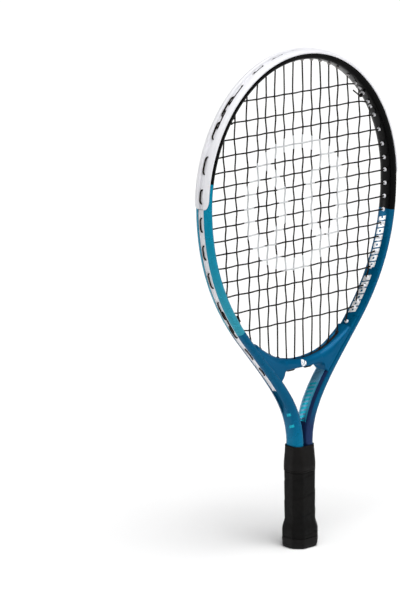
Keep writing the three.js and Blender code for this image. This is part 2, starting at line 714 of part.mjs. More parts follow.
// ---- handle ----
function octagon({ x, y, c }) {
  return new THREE.Shape([
    new THREE.Vector2(x, y - c), new THREE.Vector2(x - c, y), new THREE.Vector2(c - x, y),
    new THREE.Vector2(-x, y - c), new THREE.Vector2(-x, c - y), new THREE.Vector2(c - x, -y),
    new THREE.Vector2(x - c, -y), new THREE.Vector2(x, c - y),
  ]);
}

function grown({ x, y, c }, by) {
  return { x: x + by, y: y + by, c: c + by * (2 - Math.SQRT2) };
}

// A column whose octagon changes at each level: levels are [z, octagon].
function column(levels) {
  const steps = levels.length - 1;
  const bar = new THREE.ExtrudeGeometry(octagon(levels[0][1]), { depth: 1, steps, bevelEnabled: false });
  const at = bar.getAttribute('position');
  const base = octagon(levels[0][1]).getPoints();
  const rings = levels.map(([, size]) => octagon(size).getPoints());
  for (let i = 0; i < at.count; i += 1) {
    const k = Math.round(at.getZ(i) * steps);
    const corner = base.findIndex((p) => Math.hypot(p.x - at.getX(i), p.y - at.getY(i)) < 1e-4);
    at.setXYZ(i, rings[k][corner].x, rings[k][corner].y, levels[k][0]);
  }
  return solid(bar);
}

// Growth of the handle at height z: the flare of the butt.
const FLARE_LEVELS = [1, 0.9, 0.62, 0.3, 0.08, 0];
function flareLevels(size) {
  const [low, high] = FLARE_Z;
  return FLARE_LEVELS.map((part, i) => {
    const z = low + ((high - low) * i) / (FLARE_LEVELS.length - 1);
    return [z, grown(size, FLARE * part)];
  });
}

function buttCap() {
  const bare = grown(GRIP, FLARE);
  const [inset, edge] = CAP_EDGE;
  const underTape = flareLevels(PALLET);
  const outer = column([
    [0, grown(bare, -inset)],
    [edge * 0.3, grown(bare, -inset * 0.45)],
    [edge, bare],
    [CAP_RIM_Z, bare],
    [CAP_RIM_Z + 0.01, underTape[0][1]],
    ...underTape,
  ]);
  const socket = column([[CAP_FLOOR, CAP_SOCKET], [FLARE_Z[1] + 1, CAP_SOCKET]]);
  return outer.subtract(joined([socket, ...stapleSlots()]));
}

function gripTape() {
  const outer = column([[CAP_RIM_Z + GAP, grown(GRIP, FLARE)], ...flareLevels(GRIP), [GRIP_TOP_Z, GRIP]]);
  const bore = grown(GRIP, -TAPE_T);
  const inner = column([
    [CAP_RIM_Z - 1, grown(bore, FLARE)], ...flareLevels(bore), [GRIP_TOP_Z + 1, bore],
  ]);
  return outer.subtract(inner).subtract(joined(stapleSlots()));
}

function pallet(side) {
  const [foot, shoulder, top] = PALLET_Z;
  const outer = column([
    [foot, SPIGOT], [shoulder, SPIGOT], [shoulder + 0.01, PALLET], [top, PALLET],
  ]);
  const cavity = column([[TUBE_END_Z - GAP, CAVITY], [top + 1, CAVITY]]);
  const half = box(vec(40, 20, 120), vec(0, side * (10 + GAP / 2), 60));
  return outer.subtract(cavity).subtract(joined(stapleSlots())).intersect(half);
}

function sleeve(z, outerSize, wall) {
  return column([[z[0], outerSize], [z[1], outerSize]])
    .subtract(column([[z[0] - 1, grown(outerSize, -wall)], [z[1] + 1, grown(outerSize, -wall)]]));
}

function gripCollar() {
  const [foot, shoulder, top] = COLLAR_Z;
  const lower = grown(GRIP, 0.1);
  const rim = top - COLLAR_LIP;
  const outer = column([
    [foot, lower], [shoulder, lower], [rim, COLLAR_TOP], [top, grown(COLLAR_TOP, -0.2)],
  ]);
  const liner = grown(PALLET, FINISH_T + 2 * GAP);
  const neck = grown(COLLAR_TOP, -COLLAR_WALL);
  const bore = column([
    [foot - 1, liner], [PALLET_Z[2] + GAP, liner], [rim, neck], [top + 1, neck],
  ]);
  return outer.subtract(bore);
}

// ---- staples: a crown and two legs ----

// Turns a staple drawn at the front face towards angle, with its crown at distance r.
function staple(r, angle, grow = 0) {
  const { width, wire, leg } = STAPLE;
  const thick = wire + 2 * grow;
  const crown = box(vec(width + 2 * grow, thick, thick), vec(0, -(r + grow - thick / 2), STAPLE_Z));
  const legs = [-1, 1].map((side) => box(
    vec(thick, leg + grow, thick),
    vec((side * (width - wire)) / 2, -(r + grow - (leg + grow) / 2), STAPLE_Z),
  ));
  return joined([crown, ...legs]).rotate([0, 0, angle]);
}

const CAP_FACE_Y = PALLET.y + FLARE;
const STAPLES = [
  { name: 'butt_staple_front', r: CAP_FACE_Y - GAP, angle: 0 },
  { name: 'butt_staple_back', r: CAP_FACE_Y - GAP, angle: 180 },
  { name: 'grip_staple', r: PALLET.x + FLARE + 0.55, angle: 90 },
];

function stapleSlots() {
  return STAPLES.map(({ r, angle }) => staple(r, angle, GAP));
}

// ---- the racket ----
addPiece('frame_tube', frameTube(), PAINT);
addPiece('throat_bridge', throatBridge(), MOULDED_BLUE);
addPiece('bridge_grommet_strip', bridgeGrommetStrip(), BLACK_NYLON);
addPiece('bridge_rivet_left', bridgeRivet(RIVET_T), STEEL);
addPiece('bridge_rivet_right', bridgeRivet(1 - RIVET_T), STEEL);
addPiece('bumper_guard', bumperGuard(), WHITE_NYLON);
addPiece('grommet_strip_left', grommetStrip(STRIP_FOOT_T, BUMPER_T - END_GAP), WHITE_NYLON);
addPiece('grommet_strip_right', grommetStrip(1 - BUMPER_T + END_GAP, 1 - STRIP_FOOT_T), WHITE_NYLON);
addPiece('main_string', mainString(), STRING);
addPiece('cross_string', crossString(), STRING);
addPiece('pallet_front', pallet(-1), BLACK_NYLON);
addPiece('pallet_back', pallet(1), BLACK_NYLON);
addPiece('butt_cap', buttCap(), BLACK_NYLON);
STAPLES.forEach(({ name, r, angle }) => addPiece(name, staple(r, angle), STEEL));
addPiece('grip_tape', gripTape(), FOAM_TAPE);
addPiece('finishing_tape', sleeve(FINISH_Z, grown(PALLET, GAP + FINISH_T), FINISH_T), VINYL);
addPiece('grip_collar', gripCollar(), RUBBER);

export default racket;
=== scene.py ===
"""The looks of a 21-inch junior tennis racket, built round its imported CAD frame.

The row frame: +Z from the butt to the head tip, X across the strings, -Y towards the viewer.
Shapes are worked out in millimetres and turned into metres when a mesh is made.
"""
import math

import bmesh
import bpy
from mathutils import Matrix, Vector


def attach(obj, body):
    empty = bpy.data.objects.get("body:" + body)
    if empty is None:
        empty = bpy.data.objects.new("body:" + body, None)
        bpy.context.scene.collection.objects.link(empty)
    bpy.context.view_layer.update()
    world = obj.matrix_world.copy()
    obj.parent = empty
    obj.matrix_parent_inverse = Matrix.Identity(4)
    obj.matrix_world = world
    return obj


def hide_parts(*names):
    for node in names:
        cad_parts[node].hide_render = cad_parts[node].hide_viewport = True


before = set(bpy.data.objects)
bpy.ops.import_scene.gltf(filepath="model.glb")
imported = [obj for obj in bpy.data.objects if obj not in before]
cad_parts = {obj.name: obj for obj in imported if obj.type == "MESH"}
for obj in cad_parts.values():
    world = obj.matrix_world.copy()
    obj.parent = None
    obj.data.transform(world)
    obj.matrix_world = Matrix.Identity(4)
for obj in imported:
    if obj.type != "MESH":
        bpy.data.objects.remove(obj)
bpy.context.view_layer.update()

MM = 0.001

# ---- centreline of the frame tube, as the CAD has it ----
HEAD_CENTRE_Z = 382.6
HEAD_HALF_WIDTH = 129.5
HEAD_RISE = 145.1
SHOULDER = Vector((75.5, 233.6))
SHOULDER_LEAN = 0.682
HEAD_HANDLES = (60.9, 53.7)
THROAT_HANDLES = (63.6, 44.6)
THROAT_Z = 112
TUBE_END_Z = 34
SHAFT_X = 6.55

# ---- section of the tube: u points out of the head, v to the back ----
TUBE_U = 4.8
TUBE_V = 10.5
SHAFT_U = 6.4
SWELL_Z = (150, 230)
ROUNDNESS = 2.6
GROOVE_V = 4.2
GROOVE_U = 2.4
GROOVE_FADE_Z = (140, 164)

# ---- grommets, bumper and strings ----
COLLAR_RISE = 1.6
HOLE_SPACING = 6.4
STRIP_END_Z = 177
STRIP_GAP = 0.6  # between a strip and the bumper
BUMPER_GROW = 1.55
BUMPER_END_Z = 384
BUMPER_TAPER = 11
BUMPER_LIP_U = (3.1, 2.5)  # at the sides of the head, and at its tip
BUMPER_LIP_SPAN = 190  # run from the tip over which the lip changes
BUMPER_CLEAR = 0.12
BUMPER_CHANNEL_V = 4.7
STRING_R = 0.82
WEAVE = STRING_R  # two strings just touch where they cross
LOOP_U = 4.45  # a loop of string between two holes, in the outer groove
LOOP_V = 1.66  # mains lie in the front half of the groove, crosses in the back
LOOP_TURN = 2.4  # run in which it bends aside
CORNER_CUT = 1.1  # how much of each sharp bend of a string is rounded off
KNOT_TURNS = 2.5
KNOT_RISE = 2.9
KNOT_R = 1.15
MAIN_GAPS = (12.8, 12.3, 12.5, 12.4, 12.2, 13.9, 16.0, 15.2)
MAIN_LEANS = (0, 1.8, 0.6, 1.9, 0.4, 2.9, 4.8, 6.2)
LEAN_SPAN = 300
LEAN_Z = 360
MAIN_ENDS_Z = {"top": 490, "foot": 240, "bridge": 200}
TOP_CROSS_Z = 488.4
CROSS_GAPS = (20.6, 16.8, 16.6, 16.2, 15.1, 13.5, 14.5, 14.1, 14.4, 14.3, 14.6, 15.5, 15.6, 19.1, 21.1)
TIE_OFFS = {"mainTop": 475, "crossTop": 471.4, "crossFoot": 260.5}

# ---- throat bridge ----
BRIDGE_ARC_R = 90.6
BRIDGE_TOP_Z = 203.3
BRIDGE_UNDER_Z = 195.2
BRIDGE_UNDER_X = 22
BRIDGE_CORNER = 4
BRIDGE_HALF_DEPTH = 9.5
BRIDGE_TIP_X = 65
BRIDGE_FOOT_Z = 187.5
BRIDGE_CENTRE_Z = BRIDGE_TOP_Z + BRIDGE_ARC_R
BRIDGE_COLLAR = 1
BRIDGE_CROWN = 2.2  # its rounded upper side rises this far above the CAD's flat one
BRIDGE_TIP_CROWN = 1.3
BRIDGE_TOP_ROUND = 9
BRIDGE_FOOT_ROUND = 4.2
BRIDGE_STRIP_X = 59
BRIDGE_STRIP_V = 2.9
BRIDGE_SLOT = 1.9
BRIDGE_MAINS = 5
STRAIGHT_MAINS = 2

# ---- handle: octagons are (half width x, half depth y, chamfer c) ----
GRIP = (16, 14.5, 7.5)
FLARE = 2.5
FLARE_Z = (18.5, 29.5)
CAP_RIM_Z = 11
GRIP_TOP_Z = 82.6
COLLAR_Z = (83, 91, 111)
COLLAR_TOP = (14.2, 12, 4.7)
WRAP_PITCH = 21
WRAP_RISE = 0.35
WRAP_SEAM = (0.7, 0.25)  # half width and depth
CORNER_R = 1.6
BADGE_AT = (-15.55, 95.2)
BADGE_HALF = (3.3, 2.3)
BADGE_SLOPE = 0.105  # it follows the collar's taper

# ---- printed fields and marks: Z on the centreline, V across the tube, U out of the head ----
TEAL_Z = (247.5, 410.5)  # left side: blue below, black above
TEAL_FADE_Z = (255, 360)
BLUE_FADE_Z = (116, 158)
RIGHT_BLACK_Z = 347.2
INNER_U = -2.6  # marks of the inner face end here
RIGHT_SHAFT_Z = 190
STEEL_V = (-6.2, 9.8)
NAVY_V = (-9.6, -6.2)
NAVY_FOOT_Z = 136
NAVY_FADE_Z = (130, 154)
NAVY_FRONT_U = 2.4
MARK_SLANT = -0.3
BLOCKS_Z = ((284, 338.5), (238, 277))
BLOCKS_V = (-4.6, 5.2)
BLOCK_PITCH, BLOCK_FILL = 7.6, 0.8
NOTCH_V, NOTCH_FILL = (-1.0, 1.6), (0.22, 0.56)
TICKS_Z = (134, 172)
TICKS_V = (-4.0, 5.0)
TICK_PITCH, TICK_FILL = 4.4, 0.55
RULE_V = (-5.9, -5.0)
DASHES_Z = (147.5, 133.5)
DASHES_V = (-7.8, -1.2)
DASHES_U = 3.0
DASH_HALF, DASH_SLANT = 1.6, 0.35
DISC_X, DISC_Z, DISC_R = -1.6, 201.0, 3.5
DISC_SEAM = (0.16, 1.1, 0.38)  # bow, place and half width of a ball's seam
BALL_X, BALL_Z = -4.0, 372.0  # stencil on the strings
BALL_RING = (58.0, 72.0)
BALL_SEAM = (0.011, 17.0, 6.0)
BALL_SEAM_R = 60.0

# ---- camera, in metres and degrees ----
CAMERA_AT = (-2.61334, -2.8854, 1.19920)
CAMERA_TURN = (-40.643, 90 - 13.45, -0.638)  # about Z, then its own X and Z
CAMERA_LENS = 228.92


# ======== small maths ========
def lerp(a, b, t):
    return a + (b - a) * t


def smoothstep(value, low, high):
    t = min(1, max(0, (value - low) / (high - low)))
    return t * t * (3 - 2 * t)


def bisect(rising, low, high):
    for _ in range(40):
        middle = (low + high) / 2
        if rising(middle) < 0:
            low = middle
        else:
            high = middle
    return (low + high) / 2


def spaced(low, high, spacing):
    count = max(1, round(abs(high - low) / spacing))
    return [lerp(low, high, i / count) for i in range(count + 1)]


def superellipse(a, b, angle):
    def curve(value):
        return math.copysign(abs(value) ** (2 / ROUNDNESS), value)
    return a * curve(math.cos(angle)), b * curve(math.sin(angle))


def bezier(p, steps):
    """The points of a cubic Bezier curve, without the last one."""
    for i in range(steps):
        t = i / steps
        yield ((1 - t) ** 3 * p[0] + 3 * t * (1 - t) ** 2 * p[1]
               + 3 * t * t * (1 - t) * p[2] + t ** 3 * p[3])


def rounded(before, corner, after):
    """A corner rounded off between a point before it and one after it."""
    return [(1 - t) ** 2 * before + 2 * t * (1 - t) * corner + t * t * after for t in (0, 0.25, 0.5, 0.75, 1)]


def catmull(points, per):
    """A smooth curve through points, with per steps between neighbours."""
    ends = [points[0] * 2 - points[1], *points, points[-1] * 2 - points[-2]]
    made = []
    for a, b, c, d in zip(ends, ends[1:], ends[2:], ends[3:]):
        for i in range(per):
            t = i / per
            made.append(0.5 * (2 * b + (c - a) * t + (2 * a - 5 * b + 4 * c - d) * t ** 2
                               + (3 * b - a - 3 * c + d) * t ** 3))
    return [*made, points[-1]]


def filleted(points, cut, turn=0.3):
    """The same polyline with each corner sharper than turn rounded off."""
    made = [points[0]]
    for a, b, c in zip(points, points[1:], points[2:]):
        before, after = a - b, c - b
        if before.length < 1e-6 or after.length < 1e-6:
            continue
        if math.pi - before.angle(after) < turn:
            made.append(b)
            continue
        p = b + before.normalized() * min(cut, before.length * 0.48)
        q = b + after.normalized() * min(cut, after.length * 0.48)
        made += rounded(p, b, q)
    return [*made, points[-1]]


# ======== centreline ========
def build_spine():
    lean = Vector((math.sin(SHOULDER_LEAN), math.cos(SHOULDER_LEAN)))
    rising = [
        Vector((SHAFT_X, THROAT_Z)), Vector((SHAFT_X, THROAT_Z + THROAT_HANDLES[1])),
        SHOULDER - lean * THROAT_HANDLES[0], SHOULDER, SHOULDER + lean * HEAD_HANDLES[1],
        Vector((HEAD_HALF_WIDTH, HEAD_CENTRE_Z - HEAD_HANDLES[0])),
        Vector((HEAD_HALF_WIDTH, HEAD_CENTRE_Z)),
    ]
    half = [Vector((SHAFT_X, lerp(TUBE_END_Z, THROAT_Z, i / 100))) for i in range(100)]
    half += [*bezier(rising[:4], 300), *bezier(rising[3:], 300)]
    for i in range(601):
        angle = math.pi / 2 * i / 600
        half.append(Vector((HEAD_HALF_WIDTH * math.cos(angle),
                            HEAD_CENTRE_Z + HEAD_RISE * math.sin(angle))))
    mirrored = [Vector((-p.x, p.y)) for p in half]
    return mirrored + half[-2::-1]


SPINE = build_spine()
RUN = [0]
for p, q in zip(SPINE, SPINE[1:]):
    RUN.append(RUN[-1] + (q - p).length)
LENGTH = RUN[-1]
APEX = LENGTH / 2


def point_at(s):
    low, high = 0, len(RUN) - 1
    while high - low > 1:
        middle = (low + high) // 2
        if RUN[middle] <= s:
            low = middle
        else:
            high = middle
    t = (s - RUN[low]) / (RUN[high] - RUN[low])
    return SPINE[low].lerp(SPINE[high], t)


def frame_at(s):
    """Centre, direction and outward direction of the tube at the run s, all in the plane of the head."""
    along = (point_at(min(LENGTH, s + 0.8)) - point_at(max(0, s - 0.8))).normalized()
    return point_at(s), along, Vector((-along.y, along.x))


def beside(s, u, v=0.0):
    centre, _, out = frame_at(s)
    return Vector((centre.x + out.x * u, v, centre.y + out.y * u))


def run_at_height(z, low=0.0, high=APEX):
    return bisect(lambda s: point_at(s).y - z, low, high)


THROAT_RUN = run_at_height(THROAT_Z + 0.01)
WIDEST_RUN = run_at_height(HEAD_CENTRE_Z)


def swell_at(z):
    """How much wider the tube is at height z than in the head."""
    return lerp(SHAFT_U / TUBE_U, 1, smoothstep(z, *SWELL_Z))


def on_floor(u, z):
    """u, moved out with the groove's floor where the tube swells."""
    return u + GROOVE_U * (swell_at(z) - 1)


# ======== string layout ========
class Hole:
    """A hole at the run s. Its collar's mouth is reach inwards from the centreline."""

    def __init__(self, s, reach=TUBE_U + COLLAR_RISE):
        self.s, self.reach = s, reach


MAIN_SIDE = [MAIN_GAPS[0] / 2]
for gap in MAIN_GAPS[1:]:
    MAIN_SIDE.append(MAIN_SIDE[-1] + gap)
HALF = len(MAIN_SIDE)
MAINS = [(-x, -lean) for x, lean in zip(MAIN_SIDE[::-1], MAIN_LEANS[::-1])]
MAINS += list(zip(MAIN_SIDE, MAIN_LEANS))
CROSSES = [TOP_CROSS_Z]
for gap in CROSS_GAPS:
    CROSSES.append(CROSSES[-1] - gap)


def main_x(main, z):
    return main[0] + main[1] * (z - LEAN_Z) / LEAN_SPAN


def x_at_bridge(main):
    return main_x(main, MAIN_ENDS_Z["bridge"])


def bridge_arc_z(x):
    return BRIDGE_CENTRE_Z - math.sqrt(BRIDGE_ARC_R ** 2 - x * x)


def hole_at_x(x, low, high):
    sign = math.copysign(1, beside(high, -TUBE_U).x - beside(low, -TUBE_U).x)
    return Hole(bisect(lambda s: sign * (beside(s, -TUBE_U).x - x), low, high))


def hole_at_z(z):
    return Hole(bisect(lambda s: beside(s, -TUBE_U).z - z, THROAT_RUN, APEX))


def hole_facing(x, z):
    """The hole whose axis passes through a point on the bridge's upper edge."""
    def lag(s):
        centre, along, _ = frame_at(s)
        return (centre.x - x) * along.x + (centre.y - z) * along.y
    s = bisect(lag, THROAT_RUN, WIDEST_RUN)
    return Hole(s, (point_at(s) - Vector((x, z))).length + BRIDGE_COLLAR)


def left_holes():
    holes = {}
    for i, _ in enumerate(MAIN_SIDE):
        main = MAINS[HALF - 1 - i]
        holes[f"top{i}"] = hole_at_x(main_x(main, MAIN_ENDS_Z["top"]), WIDEST_RUN, APEX)
        x = main_x(main, MAIN_ENDS_Z["foot"])
        if STRAIGHT_MAINS <= i < BRIDGE_MAINS:
            holes[f"foot{i}"] = hole_facing(x, bridge_arc_z(x))
        elif i >= BRIDGE_MAINS:
            holes[f"foot{i}"] = hole_at_x(x, THROAT_RUN, WIDEST_RUN)
    for j, z in enumerate(CROSSES):
        holes[f"cross{j}"] = hole_at_z(z)
    for key, z in TIE_OFFS.items():
        holes[key] = hole_at_z(z)
    spread(sorted(holes.values(), key=lambda hole: hole.s))
    return holes


def spread(holes):
    """Moves holes apart along the tube until none are too close."""
    for _ in range(60):
        for a, b in zip(holes, holes[1:]):
            lack = HOLE_SPACING - (b.s - a.s)
            if lack > 0:
                b.s += lack / 2
                a.s -= lack / 2


LEFT = left_holes()
RIGHT = {key: Hole(LENGTH - hole.s, hole.reach) for key, hole in LEFT.items()}
HOLES = [*LEFT.values(), *(hole for key, hole in RIGHT.items() if key not in ("crossTop", "crossFoot"))]


def side_index(k):
    return HALF - 1 - k if k < HALF else k - HALF


def main_holes(k):
    """The hole at the top of main k, and the one at its foot, which is None where it passes the bridge."""
    side = LEFT if k < HALF else RIGHT
    return side[f"top{side_index(k)}"], side.get(f"foot{side_index(k)}")


def cross_hole(j, side):
    return (LEFT if side < 0 else RIGHT)[f"cross{j}"]


def mouth(hole):
    return beside(hole.s, -hole.reach)


# ======== meshes ========
class Shape:
    """Collects lofted rings, with per-point tags, and turns them into one object."""

    def __init__(self):
        self.points, self.faces, self.tags = [], [], []

    def loft(self, rings, tags=None, closed=False):
        base, size = len(self.points), len(rings[0])
        for i, ring in enumerate(rings):
            self.points += ring
            self.tags += tags[i] if tags else [(0.0, 0.0, 0.0)] * size
        spans = len(rings) if closed else len(rings) - 1
        for i in range(spans):
            a, b = base + i * size, base + ((i + 1) % len(rings)) * size
            for k in range(size):
                m = (k + 1) % size
                self.faces.append((a + k, a + m, b + m, b + k))
        if not closed:
            last = base + (len(rings) - 1) * size
            self.faces.append(tuple(range(base + size - 1, base - 1, -1)))
            self.faces.append(tuple(range(last, last + size)))

    def tube(self, path, radius, sides=8):
        """A round bar along a path, whose rings don't twist."""
        normal = Vector((0.0, 1.0, 0.0))
        rings = []
        for i, p in enumerate(path):
            tangent = (path[min(i + 1, len(path) - 1)] - path[max(i - 1, 0)]).normalized()
            normal = (normal - tangent * normal.dot(tangent)).normalized()
            other = tangent.cross(normal)
            angles = [2 * math.pi * k / sides for k in range(sides)]
            rings.append([p + normal * (radius * math.cos(a)) + other * (radius * math.sin(a))
                          for a in angles])
        self.loft(rings)

    def lathe(self, profile, origin, axis, sides=20, tag=(0.0, 0.0, 0.0)):
        """Turns a closed profile of (radius, height) points about an axis."""
        axis = axis.normalized()
        first = axis.orthogonal().normalized()
        second = axis.cross(first)
        rings = []
        for k in range(sides):
            angle = 2 * math.pi * k / sides
            spoke = first * math.cos(angle) + second * math.sin(angle)
            rings.append([origin + spoke * r + axis * h for r, h in profile])
        self.loft(rings, [[tag] * len(profile)] * sides, closed=True)

    def make(self, name, material, crease=38):
        mesh = bpy.data.meshes.new(name)
        mesh.from_pydata([tuple(p * MM) for p in self.points], [], self.faces)
        for i, attribute in enumerate(("run", "across", "outward")):
            layer = mesh.attributes.new(attribute, "FLOAT", "POINT")
            layer.data.foreach_set("value", [tag[i] for tag in self.tags])
        work = bmesh.new()
        work.from_mesh(mesh)
        bmesh.ops.recalc_face_normals(work, faces=work.faces)
        work.to_mesh(mesh)
        work.free()
        mesh.shade_smooth()
        mesh.set_sharp_from_angle(angle=math.radians(crease))
        mesh.materials.append(material)
        made = bpy.data.objects.new(name, mesh)
        bpy.context.scene.collection.objects.link(made)
        return made


def place(piece, slot, *nodes):
    """Fixes a finished piece to the racket, in the stead of these CAD nodes."""
    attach(piece, "root")
    if nodes:
        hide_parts(*nodes)
    return piece


def swept(shape, runs, section):
    """Lofts section(s), a list of (u, v) points, along the centreline."""
    rings, tags = [], []
    for s in runs:
        centre, _, out = frame_at(s)
        points = section(s, centre.y)
        rings.append([Vector((centre.x + out.x * u, v, centre.y + out.y * u)) for u, v in points])
        tags.append([(s - APEX, v, u) for u, v in points])
    shape.loft(rings, tags)


# ======== materials ========
def linear(red, green, blue):
    """A colour given as it looks on a screen, 0 to 255."""
    def channel(value):
        value /= 255
        return value / 12.92 if value <= 0.04045 else ((value + 0.055) / 1.055) ** 2.4
    return channel(red), channel(green), channel(blue), 1.0


class Nodes:
    """A material and short calls that add nodes to it."""

    def __init__(self, name, **sockets):
        self.material = bpy.data.materials.new(name)
        self.material.use_nodes = True
        self.tree = self.material.node_tree
        self.shader = self.tree.nodes["Principled BSDF"]
        for key, value in sockets.items():
            self.shader.inputs[key.replace("_", " ")].default_value = value
        self.coords = self.tree.nodes.new("ShaderNodeTexCoord").outputs["Object"]

    def link(self, value, socket):
        if isinstance(value, bpy.types.NodeSocket):
            self.tree.links.new(value, socket)
        elif value is not None:
            socket.default_value = value

    def math(self, operation, a, b=None, c=None):
        node = self.tree.nodes.new("ShaderNodeMath")
        node.operation = operation
        for value, socket in zip((a, b, c), node.inputs):
            self.link(value, socket)
        return node.outputs[0]

    def tag(self, name):
        node = self.tree.nodes.new("ShaderNodeAttribute")
        node.attribute_name = name
        return node.outputs["Fac"]

    def axes(self):
        node = self.tree.nodes.new("ShaderNodeSeparateXYZ")
        self.tree.links.new(self.coords, node.inputs[0])
        return [self.math("MULTIPLY", output, 1000) for output in node.outputs]

    def between(self, value, low, high):
        above = self.math("GREATER_THAN", value, low)
        return self.math("MULTIPLY", above, self.math("LESS_THAN", value, high))

    def every(self, *masks):
        made = masks[0]
        for mask in masks[1:]:
            made = self.math("MULTIPLY", made, mask)
        return made

    def either(self, a, b):
        return self.math("MAXIMUM", a, b)

    def noise(self, scale, detail=3.0, stretch=None):
        node = self.tree.nodes.new("ShaderNodeTexNoise")
        node.inputs["Scale"].default_value = scale
        node.inputs["Detail"].default_value = detail
        source = self.coords
        if stretch:
            mapping = self.tree.nodes.new("ShaderNodeMapping")
            mapping.inputs["Scale"].default_value = stretch
            self.tree.links.new(source, mapping.inputs["Vector"])
            source = mapping.outputs[0]
        self.tree.links.new(source, node.inputs["Vector"])
        return node.outputs["Fac"]

    def spread(self, value, low, high, from_low=0.3, from_high=0.7):
        node = self.tree.nodes.new("ShaderNodeMapRange")
        for key, number in (("From Min", from_low), ("From Max", from_high),
                            ("To Min", low), ("To Max", high)):
            node.inputs[key].default_value = number
        self.tree.links.new(value, node.inputs["Value"])
        return node.outputs[0]

    def mix(self, factor, a, b, blend="MIX"):
        node = self.tree.nodes.new("ShaderNodeMix")
        node.data_type = "RGBA"
        node.blend_type = blend
        self.link(factor, node.inputs["Factor"])
        self.link(a, node.inputs[6])
        self.link(b, node.inputs[7])
        return node.outputs[2]

    def distance(self, dx, dz):
        squares = [self.math("MULTIPLY", value, value) for value in (dx, dz)]
        return self.math("SQRT", self.math("ADD", *squares))

    def grey(self, value):
        node = self.tree.nodes.new("ShaderNodeCombineColor")
        for socket in node.inputs:
            self.tree.links.new(value, socket)
        return node.outputs[0]

    def finish(self, colour, roughness=None, bump=None, strength=0.2, distance=0.0002):
        self.link(colour, self.shader.inputs["Base Color"])
        self.link(roughness, self.shader.inputs["Roughness"])
        if bump is not None:
            node = self.tree.nodes.new("ShaderNodeBump")
            node.inputs["Strength"].default_value = strength
            node.inputs["Distance"].default_value = distance
            self.tree.links.new(bump, node.inputs["Height"])
            self.tree.links.new(node.outputs[0], self.shader.inputs["Normal"])
        return self.material


BLACK_PAINT = linear(3, 3, 3)
TEAL_PAINT = linear(0, 124, 154)
TEAL_LOW_PAINT = linear(48, 142, 162)
BLUE_PAINT = linear(0, 83, 120)
BLUE_LOW_PAINT = linear(0, 106, 144)
NAVY_PAINT = linear(32, 50, 88)
STEEL_BLUE_PAINT = linear(104, 168, 200)
MARK_TEAL = linear(24, 168, 190)
MARK_WHITE = linear(252, 253, 254)


def run_from_apex(z, side):
    return side * (APEX - run_at_height(z))


def runs_between(heights, side):
    """The runs from the apex of two heights on one side, in rising order."""
    return sorted(run_from_apex(z, side) for z in heights)


def ball_seam(n, dx, dz, bow, place_at, half):
    """A mask of the two curved seams of a ball, with dx and dz taken from its middle."""
    bend = n.math("MULTIPLY", n.math("MULTIPLY", dz, dz), bow)
    off = n.math("ABSOLUTE", n.math("SUBTRACT", n.math("ABSOLUTE", dx), n.math("ADD", bend, place_at)))
    return n.math("LESS_THAN", off, half)


